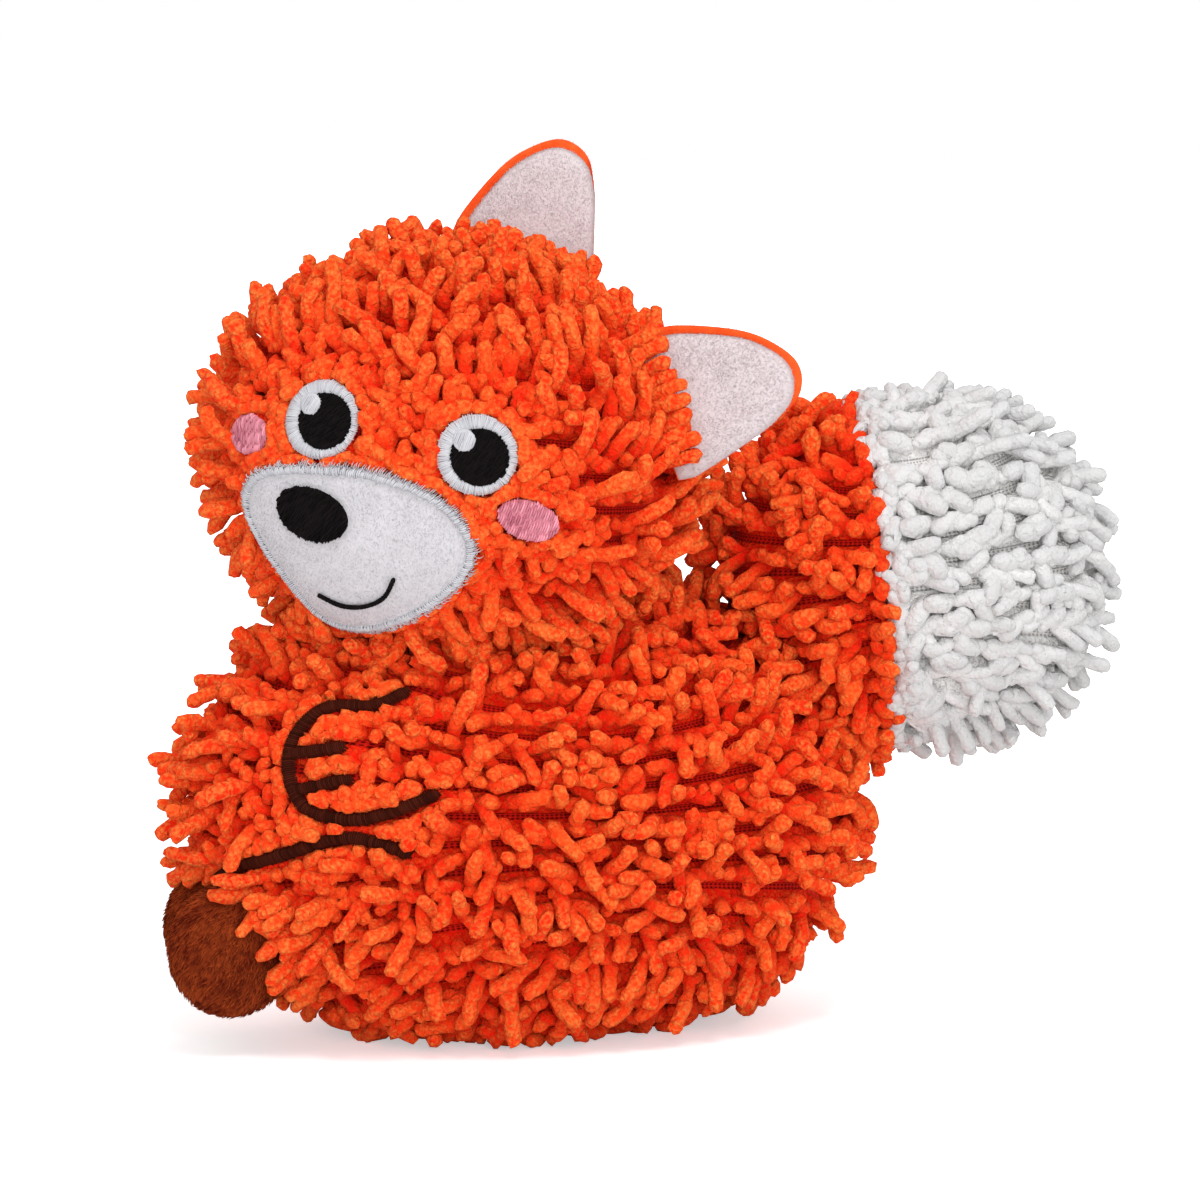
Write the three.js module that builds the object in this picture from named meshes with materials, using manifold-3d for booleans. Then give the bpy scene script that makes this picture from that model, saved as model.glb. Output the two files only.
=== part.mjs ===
// A sitting stuffed fox in chenille finger cloth: sewn covers over their fillings, velour ears,
// muzzle and feet, and embroidered face, hands and thighs. Millimetres, +Z up.
// The fox faces -Y and its left is +X. The origin is on the floor, under the middle of its seat.
import * as THREE from 'three';
import { mergeVertices } from 'three/addons/utils/BufferGeometryUtils.js';
import Module from 'manifold-3d';

const wasm = await Module();
wasm.setup();

// Cloth, thread and clearances
const gap = 0.3;
const fingerPile = 4;
const knitBacking = 1;
const velourCloth = 1.6;
const stitchRise = 0.8;
const coverThickness = knitBacking + fingerPile;

// Body: an egg lying along Y, with a full chest, pressed flat where it sits
const bodyHalfWidth = 41;
const bodyHalfLength = 62;
const bodyRise = 44;
const bodyDrop = 52;
const seatDrop = 44.4;
const seatFlat = 1.3;
const bodySetForward = 1.5;
const chestSwell = 4.5;
const rumpSwell = 1.5;
const neckOpening = 15;
const tailOpening = 12;

// Head: a wide ball turned to its left and tipped over, flattened in the face, with a snout
const headHalfWidth = 43.5;
const headHalfDepth = 43;
const headHalfHeight = 35.5;
const headAboveCrown = 22;
const headForward = 15.1;
const headAside = 2;
const faceDepth = 40;
const snoutSwell = 5.5;
const headTurn = 44;
const headTip = 13;

// Tail: a fat egg carried up behind the rump, with a white end
const tailHalfWidth = 27;
const tailHalfLength = 37;
const tailHalfHeight = 32;
const tailBehind = 7.5;
const tailAside = 10;
const tailRootSwell = 8;
const tailEndSwell = 4.5;
const tipSeam = 7;
const tailTurn = -14;
const tailTilt = 6;

// Feet: small velour balls under the front of the belly, the right one tucked in
const footHalfWidth = 9;
const footHalfLength = 11.8;
const footHalfHeight = 12.4;
const footStand = 4.6;
const footTuck = 4.5;
const footTurn = 8.7;
const footDip = -20;

// Ears: two velour panels each, cut from one pattern, on a straight seam that lets them flop
const earWidth = 27.5;
const earHeight = 23.5;
const earRim = 1.6;
const earEdge = 0.8;
const earPad = 0.9;
const earCup = 1.6;
const earSeam = 1.3;

// Embroidery
const eyeRadius = 6.95;
const pupilRadius = 5.05;
const glintRadius = 1.9;
const noseHalfWidth = 6.8;
const noseHalfHeight = 4.3;
const noseTilt = -6;
const cheekHalfWidth = 5.6;
const cheekHalfHeight = 3.5;
const cheekTilt = 8;
const muzzleEdge = 1.7;
const mouthLine = 0.8;
const bodyLine = 2.6;

// Squeaker in the belly
const bulbRadius = 16;
const bulbHeight = 13;
const bulbWall = 1;
const bulbNeck = 4.5;
const bulbNeckRise = 4;
const bulbMouth = 3.2;
const reedBore = 1;
const reedFlange = 1.2;
const pocketVent = 3;

// Tufts of the finger pile, which rise, dip and lean, and keep off what is sewn on by a facet.
// facetReach is how many degrees a facet would span on a ball with one facet a side.
const tuftRise = 2.4;
const tuftDip = 2;
const tuftLean = 2.6;
const facetReach = 76;
const earRoom = 2;

// Facets, and the blocks that cut the forms, which are longer than any of them
const cutterSpan = 260;
const coverFacets = 9;
const tailFacets = 6;
const liningColumns = 20;
const liningRows = 10;
const footColumns = 16;
const footRows = 10;
const discSides = 20;
const pressSharpness = 8;
const keySharpness = 10000;

const { degToRad, radToDeg } = THREE.MathUtils;
const lift = gap + 0.1 * gap;
const onPatch = lift + velourCloth + gap;
const down = new THREE.Vector3(0, 0, -1);
const upright = new THREE.Vector3(0, 0, 1);

// Direction in a form's own axes, in degrees: 0 is forwards, positive turns to its left and up
function heading(left, up) {
  const a = degToRad(left);
  const b = degToRad(up);
  return new THREE.Vector3(Math.sin(a) * Math.cos(b), -Math.cos(a) * Math.cos(b), Math.sin(b));
}

// A turn to its left, then a tilt nose down, then a tip of the crown to its left
function poseOf(turn, tilt, tip) {
  const order = new THREE.Euler(degToRad(tilt), degToRad(tip), degToRad(turn), 'ZXY');
  return new THREE.Quaternion().setFromEuler(order);
}

// A stuffed form is a radius for each direction: a double ellipsoid, swellings, and pressed places
function makeForm({ side, front, above, below = above, swells = [], presses = [], pose, centre }) {
  const turn = pose ?? new THREE.Quaternion();
  const place = centre ?? new THREE.Vector3();
  const radius = (d) => {
    let r = 1 / Math.hypot(d.x / side, d.y / front, d.z / (d.z < 0 ? below : above));
    for (const { towards, by, spread } of swells) {
      r += by * Math.exp(-((radToDeg(d.angleTo(towards)) / spread) ** 2));
    }
    for (const { towards, depth } of presses) {
      const facing = d.dot(towards);
      if (facing > 0) {
        const flat = depth / facing;
        r = (r ** -pressSharpness + flat ** -pressSharpness) ** (-1 / pressSharpness);
      }
    }
    return r;
  };
  const point = (d, out = 0) => {
    return d.clone().multiplyScalar(radius(d) + out).applyQuaternion(turn).add(place);
  };
  const heightOf = (p) => {
    const d = p.clone().sub(place).applyQuaternion(turn.clone().invert());
    return d.length() - radius(d.clone().normalize());
  };
  return { centre: place, radius, point, heightOf, turn };
}

// Solids and booleans
function solidFrom(points, faces) {
  const vertProperties = Float32Array.from(points.flatMap((p) => p.toArray()));
  const triVerts = Uint32Array.from(faces.flat());
  return new wasm.Manifold(new wasm.Mesh({ numProp: 3, vertProperties, triVerts }));
}

function solidOf(geometry) {
  const bare = geometry.clone();
  bare.deleteAttribute('normal');
  bare.deleteAttribute('uv');
  const merged = mergeVertices(bare);
  const vertProperties = Float32Array.from(merged.attributes.position.array);
  const triVerts = Uint32Array.from(merged.index.array);
  return new wasm.Manifold(new wasm.Mesh({ numProp: 3, vertProperties, triVerts }));
}

function geometryOf(solid) {
  const mesh = solid.getMesh();
  const geometry = new THREE.BufferGeometry();
  const positions = Float32Array.from(mesh.vertProperties);
  geometry.setAttribute('position', new THREE.BufferAttribute(positions, 3));
  geometry.setIndex(new THREE.BufferAttribute(Uint32Array.from(mesh.triVerts), 1));
  return geometry;
}

// Directions of a ball of near even facets, `facets` along each side of an icosahedron's 20 faces,
// with a tuft on every third corner
function evenBall(facets) {
  const corners = new THREE.IcosahedronGeometry(1, 0).attributes.position;
  const directions = [];
  const tufts = [];
  const faces = [];
  const known = new Map();
  for (let first = 0; first < corners.count; first += 3) {
    const [a, b, c] = [0, 1, 2].map((k) => new THREE.Vector3().fromBufferAttribute(corners, first + k));
    const at = (i, j) => {
      const d = a.clone().multiplyScalar(facets - i - j).addScaledVector(b, i).addScaledVector(c, j);
      const key = d.normalize().toArray().map((x) => Math.round(x * keySharpness)).join();
      if (!known.has(key)) {
        known.set(key, directions.length);
        directions.push(d);
        tufts.push((facets - i - j - i) % 3 === 0);
      }
      return known.get(key);
    };
    for (let i = 0; i < facets; i += 1) {
      for (let j = 0; j < facets - i; j += 1) {
        faces.push([at(i, j), at(i + 1, j), at(i, j + 1)]);
        if (i + j < facets - 1) faces.push([at(i + 1, j), at(i + 1, j + 1), at(i, j + 1)]);
      }
    }
  }
  return { directions, tufts, faces };
}

// Closed ball over a form in tufts that lean along `comb`, and flat where `quiet` says so
function tuftedBall(form, out, { facets, comb, quiet }) {
  const { directions, tufts, faces } = evenBall(facets);
  const points = directions.map((d, k) => {
    const facet = degToRad(facetReach / facets) * form.radius(d);
    if (quiet(form.point(d), facet)) return form.point(d, out);
    if (!tufts[k]) return form.point(d, out - tuftDip);
    const along = comb.clone().addScaledVector(d, -comb.dot(d)).normalize();
    const leaning = d.clone().addScaledVector(along, tuftLean / form.radius(d)).normalize();
    return form.point(leaning, out + tuftRise);
  });
  return solidFrom(points, faces);
}

// Closed plain ball over a form, `out` beyond its surface
function ball(form, out, columns, rows) {
  const points = [form.point(down, out)];
  for (let row = 1; row < rows; row += 1) {
    for (let column = 0; column < columns; column += 1) {
      points.push(form.point(heading((360 * column) / columns, (180 * row) / rows - 90), out));
    }
  }
  points.push(form.point(upright, out));
  const at = (row, column) => 1 + (row - 1) * columns + (column % columns);
  const faces = [];
  for (let column = 0; column < columns; column += 1) {
    faces.push([0, at(1, column + 1), at(1, column)]);
    faces.push([points.length - 1, at(rows - 1, column), at(rows - 1, column + 1)]);
    for (let row = 1; row < rows - 1; row += 1) {
      faces.push([at(row, column), at(row, column + 1), at(row + 1, column + 1)]);
      faces.push([at(row, column), at(row + 1, column + 1), at(row + 1, column)]);
    }
  }
  return solidFrom(points, faces);
}

// Round cutter between two points
function bore(from, to, radius) {
  const along = to.clone().sub(from);
  const geometry = new THREE.CylinderGeometry(radius, radius, along.length(), discSides);
  const ownAxis = new THREE.Vector3(0, 1, 0);
  const turn = new THREE.Quaternion().setFromUnitVectors(ownAxis, along.normalize());
  geometry.applyQuaternion(turn);
  geometry.translate(...from.clone().add(to).multiplyScalar(1 / 2).toArray());
  return solidOf(geometry);
}

// Closed strip of rings: rings of points, each ring the same count, joined in order.
// `cap` closes a ring onto one point, and `loop` joins the last ring to the first.
function ringsSolid(rings, { firstCap, lastCap, loop = false }) {
  const count = rings[0].length;
  const points = rings.flat();
  const faces = [];
  const joins = loop ? rings.length : rings.length - 1;
  for (let k = 0; k < joins; k += 1) {
    const a = k * count;
    const b = ((k + 1) % rings.length) * count;
    for (let i = 0; i < count; i += 1) {
      const j = (i + 1) % count;
      faces.push([a + i, a + j, b + j]);
      faces.push([a + i, b + j, b + i]);
    }
  }
  const close = (tip, start, flip) => {
    points.push(tip);
    const last = points.length - 1;
    for (let i = 0; i < count; i += 1) {
      const j = (i + 1) % count;
      faces.push(flip ? [last, start + i, start + j] : [last, start + j, start + i]);
    }
  };
  if (firstCap) close(firstCap, 0, false);
  if (lastCap) close(lastCap, (rings.length - 1) * count, true);
  const solid = solidFrom(points, faces);
  return solid.volume() > 0 ? solid : solidFrom(points, faces.map(([a, b, c]) => [a, c, b]));
}

// Where a point `x` to the left and `y` up from a place falls on a form, as a direction
function besideOn(form, place, x, y) {
  const leftwards = new THREE.Vector3(-place.y, place.x, 0).normalize();
  const upwards = place.clone().cross(leftwards);
  const reach = Math.hypot(x, y);
  if (reach === 0) return place.clone();
  const turn = reach / form.radius(place);
  const aim = leftwards.multiplyScalar(x / reach).addScaledVector(upwards, y / reach);
  return place.clone().multiplyScalar(Math.cos(turn)).addScaledVector(aim, Math.sin(turn));
}

// Outline of an ellipse about a place on a form
function ellipseOn(form, place, halfWidth, halfHeight, tilt = 0) {
  const outline = [];
  for (let i = 0; i < discSides; i += 1) {
    const t = (2 * Math.PI * i) / discSides;
    const spot = new THREE.Vector2(halfWidth * Math.cos(t), halfHeight * Math.sin(t));
    spot.rotateAround(new THREE.Vector2(), degToRad(tilt));
    outline.push(besideOn(form, place, spot.x, spot.y));
  }
  return outline;
}

// Flat piece that lies on a form: from its middle, or a hole's edge, out to its outline
function draped(form, outline, { middle, hole, out, thickness, steps = 1 }) {
  const from = hole ?? outline.map(() => middle);
  const between = (i, share) => from[i].clone().lerp(outline[i], share).normalize();
  const ring = (share, rise) => outline.map((_, i) => form.point(between(i, share), rise));
  const shares = Array.from({ length: steps + 1 }, (_, k) => k / steps);
  const lower = shares.map((share) => ring(share, out));
  const upper = shares.map((share) => ring(share, out + thickness));
  if (hole) return ringsSolid([...lower, ...upper.reverse()], { loop: true });
  return ringsSolid([...lower.slice(1), ...upper.slice(1).reverse()], {
    firstCap: form.point(middle, out),
    lastCap: form.point(middle, out + thickness),
  });
}

// Band of thread along headings on a form
function threadLine(form, headings, width, out, thickness, steps) {
  const spine = new THREE.CatmullRomCurve3(headings.map(([left, up]) => heading(left, up)));
  const rings = [];
  for (let k = 0; k <= steps; k += 1) {
    const d = spine.getPoint(k / steps).normalize();
    const reach = width / 2 / form.radius(d);
    const across = spine.getTangent(k / steps).cross(d).normalize().multiplyScalar(reach);
    const edges = [d.clone().sub(across).normalize(), d.clone().add(across).normalize()];
    rings.push([
      form.point(edges[0], out),
      form.point(edges[1], out),
      form.point(edges[1], out + thickness),
      form.point(edges[0], out + thickness),
    ]);
  }
  const middleOf = (ring) => {
    return ring.reduce((sum, p) => sum.add(p), new THREE.Vector3()).divideScalar(ring.length);
  };
  return ringsSolid(rings, { firstCap: middleOf(rings[0]), lastCap: middleOf(rings[steps]) });
}

// The forms, each placed from the one that carries it
const bodyForm = (() => {
  const shape = {
    side: bodyHalfWidth,
    front: bodyHalfLength,
    above: bodyRise,
    below: bodyDrop,
    swells: [
      { towards: heading(0, 19), by: chestSwell, spread: 32 },
      { towards: heading(180, 0), by: rumpSwell, spread: 40 },
    ],
    presses: [{ towards: down, depth: seatDrop }],
  };
  const level = makeForm(shape).radius(down) - seatFlat;
  return makeForm({ ...shape, centre: new THREE.Vector3(0, -bodySetForward, level) });
})();

const headForm = makeForm({
  side: headHalfWidth,
  front: headHalfDepth,
  above: headHalfHeight,
  swells: [{ towards: heading(3, -27), by: snoutSwell, spread: 30 }],
  presses: [{ towards: heading(10, 6), depth: faceDepth }],
  pose: poseOf(headTurn, 0, headTip),
  centre: new THREE.Vector3(headAside, -headForward, bodyRise + headAboveCrown).add(bodyForm.centre),
});

const tailForm = makeForm({
  side: tailHalfWidth,
  front: tailHalfLength,
  above: tailHalfHeight,
  swells: [
    { towards: heading(0, -53), by: tailRootSwell, spread: 34 },
    { towards: heading(180, -43), by: tailEndSwell, spread: 30 },
  ],
  pose: poseOf(tailTurn, tailTilt, 0),
  centre: new THREE.Vector3(tailAside, bodyHalfLength + tailBehind, bodyRise).add(bodyForm.centre),
});

function makeFootForm(sideways) {
  const tuck = sideways < 0 ? footTuck : 0;
  return makeForm({
    side: footHalfWidth,
    front: footHalfLength,
    above: footHalfHeight,
    centre: bodyForm.point(heading(sideways * footTurn, footDip), footStand - tuck),
  });
}

// The seam's place on the head, its run round the crown, and how far the ear leans back
function earFrame({ left, up, run, lean }) {
  const place = heading(left, up);
  const nudge = degToRad(1);
  const leftwards = new THREE.Vector3(-place.y, place.x, 0).normalize();
  const upwards = place.clone().cross(leftwards);
  const near = (side) => headForm.point(place.clone().addScaledVector(side, nudge).normalize());
  const seat = headForm.point(place);
  const alongLeft = near(leftwards).sub(seat).normalize();
  const outwards = alongLeft.clone().cross(near(upwards).sub(seat)).normalize();
  const alongUp = outwards.clone().cross(alongLeft);
  const turn = degToRad(run);
  const hinge = alongLeft.multiplyScalar(Math.cos(turn)).addScaledVector(alongUp, Math.sin(turn));
  const height = outwards.clone().applyAxisAngle(hinge, -degToRad(lean));
  const back = height.clone().cross(hinge);
  const frame = new THREE.Matrix4().makeBasis(hinge, back, height);
  return frame.setPosition(seat.addScaledVector(outwards, gap + earSeam));
}

const earPlaces = {
  right: { left: -168, up: 62, run: -174, lean: -8 },
  left: { left: 94, up: 25.5, run: -91, lean: 19 },
};

// Outlines and places on the face that are sewn on, as headings
const muzzleHeadings = [
  [-29.2, -17],
  [-27, -9.9],
  [-20, -5.6],
  [-10.9, -2.8],
  [1.9, -0.4],
  [14.3, -0.6],
  [23.7, -2.6],
  [31.2, -6.9],
  [35, -13],
  [33.7, -20.4],
  [27.9, -28.8],
  [18.2, -37.2],
  [7, -42.4],
  [-5.5, -43],
  [-14.6, -33],
  [-23.6, -24.4],
];
const muzzleSteps = 32;
const muzzleMiddle = heading(3, -21);
const muzzleRing = new THREE.CatmullRomCurve3(muzzleHeadings.map(([left, up]) => heading(left, up)), true)
  .getPoints(muzzleSteps)
  .slice(0, muzzleSteps)
  .map((d) => d.normalize());
const faceSides = {
  right: { eye: [-12.2, 8.9], pupil: [-10.8, 8.7], glint: [-16, 11.6], cheek: [-32.7, -0.9] },
  left: { eye: [30.8, 10.1], pupil: [31.6, 9.6], glint: [27, 13], cheek: [46, -3.4] },
};

// Hands and thighs, as headings for the left side; the right side mirrors them
const handHeadings = [
  [39.8, 31.1],
  [34.1, 26.2],
  [24.5, 23],
  [21.6, 14.4],
  [25.5, 5.4],
  [34.3, 3.4],
  [41.8, 5.7],
  [50.1, 9.9],
];
const upperFingerHeadings = [
  [21.6, 14],
  [26, 15.2],
  [31.5, 17.1],
];
const lowerFingerHeadings = [
  [23.5, 7.6],
  [28, 9.2],
  [33.8, 11.2],
];
const thighHeadings = [
  [5, -9.4],
  [12.4, -6.3],
  [20.6, -4],
  [31.5, -0.3],
  [38.2, -0.9],
  [44.9, -3.7],
];
const handLines = [
  { headings: handHeadings, steps: 24 },
  { headings: upperFingerHeadings, steps: 4 },
  { headings: lowerFingerHeadings, steps: 4 },
];
const thighLines = [{ headings: thighHeadings, steps: 16 }];

// Places that the tufts keep clear of, each with its own reach
const spotOn = (form, d, reach = 0) => ({ at: form.point(d), reach });
const lineSpots = (headings, sideways) => {
  const line = headings.map(([left, up]) => heading(sideways * left, up));
  const spine = new THREE.CatmullRomCurve3(line).getPoints(2 * line.length);
  return spine.map((d) => spotOn(bodyForm, d.normalize(), bodyLine / 2));
};
const earSpots = Object.values(earPlaces).flatMap((place) => {
  const frame = earFrame(place);
  return [-1, -1 / 2, 0, 1 / 2, 1].map((share) => {
    const at = new THREE.Vector3((share * earWidth) / 2, 0, -gap - earSeam).applyMatrix4(frame);
    return { at, reach: earRoom };
  });
});
const headSpots = [
  spotOn(headForm, muzzleMiddle),
  ...muzzleRing.map((d) => spotOn(headForm, d)),
  ...muzzleRing.map((d) => spotOn(headForm, d.clone().add(muzzleMiddle).normalize())),
  ...Object.values(faceSides).map(({ eye }) => spotOn(headForm, heading(...eye), eyeRadius)),
  ...Object.values(faceSides).map(({ cheek }) => spotOn(headForm, heading(...cheek), cheekHalfWidth)),
  ...earSpots,
];
const bodySpots = [1, -1].flatMap((sideways) => [
  ...handLines.flatMap(({ headings }) => lineSpots(headings, sideways)),
  ...thighLines.flatMap(({ headings }) => lineSpots(headings, sideways)),
  { at: makeFootForm(sideways).centre, reach: footHalfLength },
]);
const quietNear = (spots, neighbours) => (p, facet) => {
  return p.z < facet
    || spots.some(({ at, reach }) => p.distanceTo(at) < reach + facet)
    || neighbours.some((form) => form.heightOf(p) < facet);
};
const bodyTufts = {
  facets: coverFacets,
  comb: new THREE.Vector3(0, -1, -1),
  quiet: quietNear(bodySpots, [headForm, tailForm]),
};
const headTufts = {
  facets: coverFacets,
  comb: new THREE.Vector3(0, 1, 1 / 2),
  quiet: quietNear(headSpots, [tailForm]),
};
const tailTufts = {
  facets: tailFacets,
  comb: new THREE.Vector3(0, -1, 0),
  quiet: quietNear([], [headForm]),
};

// Covers and fillings
const floorBlock = (() => {
  const geometry = new THREE.BoxGeometry(cutterSpan, cutterSpan, bodyDrop);
  geometry.translate(0, 0, -bodyDrop / 2);
  return solidOf(geometry);
})();

function bag(form, tufts) {
  return tuftedBall(form, 0, tufts).subtract(ball(form, -coverThickness, liningColumns, liningRows));
}

const clearOfBody = tuftedBall(bodyForm, gap, bodyTufts);
const neck = bore(bodyForm.centre, headForm.centre, neckOpening);
const tailRoot = bore(bodyForm.centre, tailForm.centre, tailOpening);

const bodyCover = bag(bodyForm, bodyTufts)
  .subtract(floorBlock)
  .subtract(neck)
  .subtract(tailRoot);
const headCover = bag(headForm, headTufts).subtract(clearOfBody);
const headFilling = ball(headForm, -coverThickness - gap, liningColumns, liningRows).subtract(clearOfBody);

// The tail's cover is cut in two by the seam of its white end
function seamBlock(form, from, sideways) {
  const geometry = new THREE.BoxGeometry(cutterSpan, cutterSpan, cutterSpan);
  geometry.translate(0, -from + sideways * (cutterSpan / 2 + gap / 2), 0);
  geometry.applyQuaternion(form.turn);
  geometry.translate(...form.centre.toArray());
  return solidOf(geometry);
}
const wholeTail = bag(tailForm, tailTufts).subtract(clearOfBody);
const tailCover = wholeTail.intersect(seamBlock(tailForm, tipSeam, -1));
const tailTipCover = wholeTail.intersect(seamBlock(tailForm, tipSeam, 1));
const tailFilling = ball(tailForm, -coverThickness - gap, liningColumns, liningRows).subtract(clearOfBody);

// Squeaker: a hollow bulb with a reed plug in its neck
function turnedSolid(profile) {
  const geometry = new THREE.LatheGeometry(profile.map(([r, h]) => new THREE.Vector2(r, h)), discSides);
  geometry.rotateX(Math.PI / 2);
  const solid = solidOf(geometry);
  return solid.translate(bodyForm.centre.toArray());
}
const bulbHalf = bulbHeight / 2;
const neckTop = bulbHalf + bulbNeckRise;
const squeakerBulb = turnedSolid([
  [0, -bulbHalf],
  [bulbRadius - bulbHalf, -bulbHalf],
  [bulbRadius, 0],
  [bulbRadius - bulbHalf, bulbHalf],
  [bulbNeck, bulbHalf],
  [bulbNeck, neckTop],
  [bulbMouth, neckTop],
  [bulbMouth, bulbHalf - bulbWall],
  [bulbRadius - bulbHalf, bulbHalf - bulbWall],
  [bulbRadius - bulbWall, 0],
  [bulbRadius - bulbHalf, bulbWall - bulbHalf],
  [0, bulbWall - bulbHalf],
]);
const squeakerReed = turnedSolid([
  [reedBore, bulbHalf],
  [bulbMouth - gap, bulbHalf],
  [bulbMouth - gap, neckTop + gap],
  [bulbNeck, neckTop + gap],
  [bulbNeck, neckTop + gap + reedFlange],
  [reedBore, neckTop + gap + reedFlange],
  [reedBore, bulbHalf],
]);
const pocketTop = neckTop + reedFlange + gap + gap;
const squeakerPocket = turnedSolid([
  [0, -bulbHalf - gap],
  [bulbRadius - bulbHalf + gap, -bulbHalf - gap],
  [bulbRadius + gap, -gap],
  [bulbRadius + gap, gap],
  [bulbRadius - bulbHalf + gap, bulbHalf + gap],
  [bulbNeck + gap, bulbHalf + gap],
  [bulbNeck + gap, pocketTop],
  [0, pocketTop],
]);
const vent = bore(bodyForm.centre, bodyForm.point(upright), pocketVent);
const bodyFilling = ball(bodyForm, -coverThickness - gap, liningColumns, liningRows)
  .subtract(squeakerPocket)
  .subtract(vent);

// Feet, with the room that each takes up from the thigh line above it
function footPieces(sideways) {
  const form = makeFootForm(sideways);
  const cover = ball(form, 0, footColumns, footRows)
    .subtract(ball(form, -velourCloth, footColumns, footRows))
    .subtract(clearOfBody);
  const filling = ball(form, -velourCloth - gap, footColumns, footRows).subtract(clearOfBody);
  const room = ball(form, gap, footColumns, footRows);
  return { cover, filling, room };
}

// Ears. The pattern gives the outline in shares of half the width and of the height.
const earOutlineShares = [
  [-1, 0],
  [-0.92, 0.25],
  [-0.6, 0.64],
  [-0.29, 0.86],
  [0.12, 1],
  [0.5, 0.93],
  [0.72, 0.69],
  [0.86, 0.38],
  [1, 0],
];
const earOutlineSteps = 18;

// One padded panel, between the middle plane and the face that it shows, front -1 or back +1
function earPanel(facing, inset, foot) {
  const halfWidth = earWidth / 2 - inset;
  const height = earHeight - inset - foot;
  const corners = earOutlineShares.map(([x, z]) => {
    return new THREE.Vector3(x * halfWidth, 0, foot + z * height);
  });
  const outline = new THREE.CatmullRomCurve3(corners).getPoints(earOutlineSteps);
  const base = outline[outline.length - 1].clone().lerp(outline[0], 1 / 2);
  const middle = base.clone().setZ(foot + height / 2);
  outline.push(base);
  const lay = (p, depth) => {
    const cup = earCup * (p.x / (earWidth / 2)) ** 2 * (p.z / earHeight);
    return new THREE.Vector3(p.x, facing * (gap / 2 + depth) - cup, p.z);
  };
  const ring = (share, depth) => outline.map((p) => lay(middle.clone().lerp(p, share), depth));
  const shares = [1 / 2, 1];
  const flat = shares.map((share) => ring(share, 0));
  const padded = shares.map((share) => ring(share, earEdge + earPad * (1 - share ** 2)));
  return ringsSolid([...flat, ...padded.reverse()], {
    firstCap: lay(middle, 0),
    lastCap: lay(middle, earEdge + earPad),
  });
}

const seamHalf = new THREE.Vector3(earWidth / 2 - earRim, 0, 0);
const earSeamRoll = bore(seamHalf.clone().negate(), seamHalf, earSeam);
const earBack = earPanel(1, 0, 0).add(earSeamRoll);
const earFront = earPanel(-1, earRim, earSeam + gap);

// Face
const inFrom = (ring, form, middle, by) => ring.map((d) => {
  const reach = d.angleTo(middle);
  const share = by / form.radius(d) / reach;
  return d.clone().lerp(middle, share).normalize();
});
const muzzlePatch = draped(headForm, inFrom(muzzleRing, headForm, muzzleMiddle, muzzleEdge + gap), {
  middle: muzzleMiddle,
  out: lift,
  thickness: velourCloth,
  steps: 4,
}).subtract(clearOfBody);
const muzzleStitching = draped(headForm, muzzleRing, {
  hole: inFrom(muzzleRing, headForm, muzzleMiddle, muzzleEdge),
  out: lift,
  thickness: velourCloth + stitchRise / 2,
}).subtract(clearOfBody);
const nose = (() => {
  const middle = heading(-6.6, -13.2);
  const outline = ellipseOn(headForm, middle, noseHalfWidth, noseHalfHeight, noseTilt);
  return draped(headForm, outline, { middle, out: onPatch, thickness: stitchRise, steps: 2 });
})();
const mouthHeadings = [
  [-3, -31.8],
  [3.6, -33],
  [10.3, -31.6],
  [15.1, -28.1],
  [17, -22.7],
];
const mouthSteps = 14;
const mouth = threadLine(headForm, mouthHeadings, mouthLine, onPatch, stitchRise, mouthSteps);

function eyePieces({ eye, pupil, glint, cheek }) {
  const whiteRing = ellipseOn(headForm, heading(...eye), eyeRadius, eyeRadius);
  const pupilMiddle = heading(...pupil);
  const pupilEdge = ellipseOn(headForm, pupilMiddle, pupilRadius, pupilRadius);
  const pupilHole = ellipseOn(headForm, pupilMiddle, pupilRadius + gap, pupilRadius + gap);
  const glintMiddle = heading(...glint);
  const glintEdge = ellipseOn(headForm, glintMiddle, glintRadius, glintRadius);
  const cheekMiddle = heading(...cheek);
  const tilt = Math.sign(cheek[0]) * -cheekTilt;
  const cheekEdge = ellipseOn(headForm, cheekMiddle, cheekHalfWidth, cheekHalfHeight, tilt);
  const flat = { out: lift, thickness: stitchRise };
  return {
    eye_white: draped(headForm, whiteRing, { hole: pupilHole, ...flat }),
    pupil: draped(headForm, pupilEdge, { middle: pupilMiddle, ...flat, steps: 2 }),
    eye_glint: draped(headForm, glintEdge, {
      middle: glintMiddle,
      out: lift + stitchRise + gap,
      thickness: stitchRise / 2,
    }),
    cheek: draped(headForm, cheekEdge, { middle: cheekMiddle, ...flat, steps: 2 }),
  };
}

function bodyLines(lines, sideways) {
  const solids = lines.map(({ headings, steps }) => {
    const mirrored = headings.map(([left, up]) => [sideways * left, up]);
    return threadLine(bodyForm, mirrored, bodyLine, lift, stitchRise, steps);
  });
  return solids.reduce((whole, solid) => whole.add(solid));
}

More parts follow.
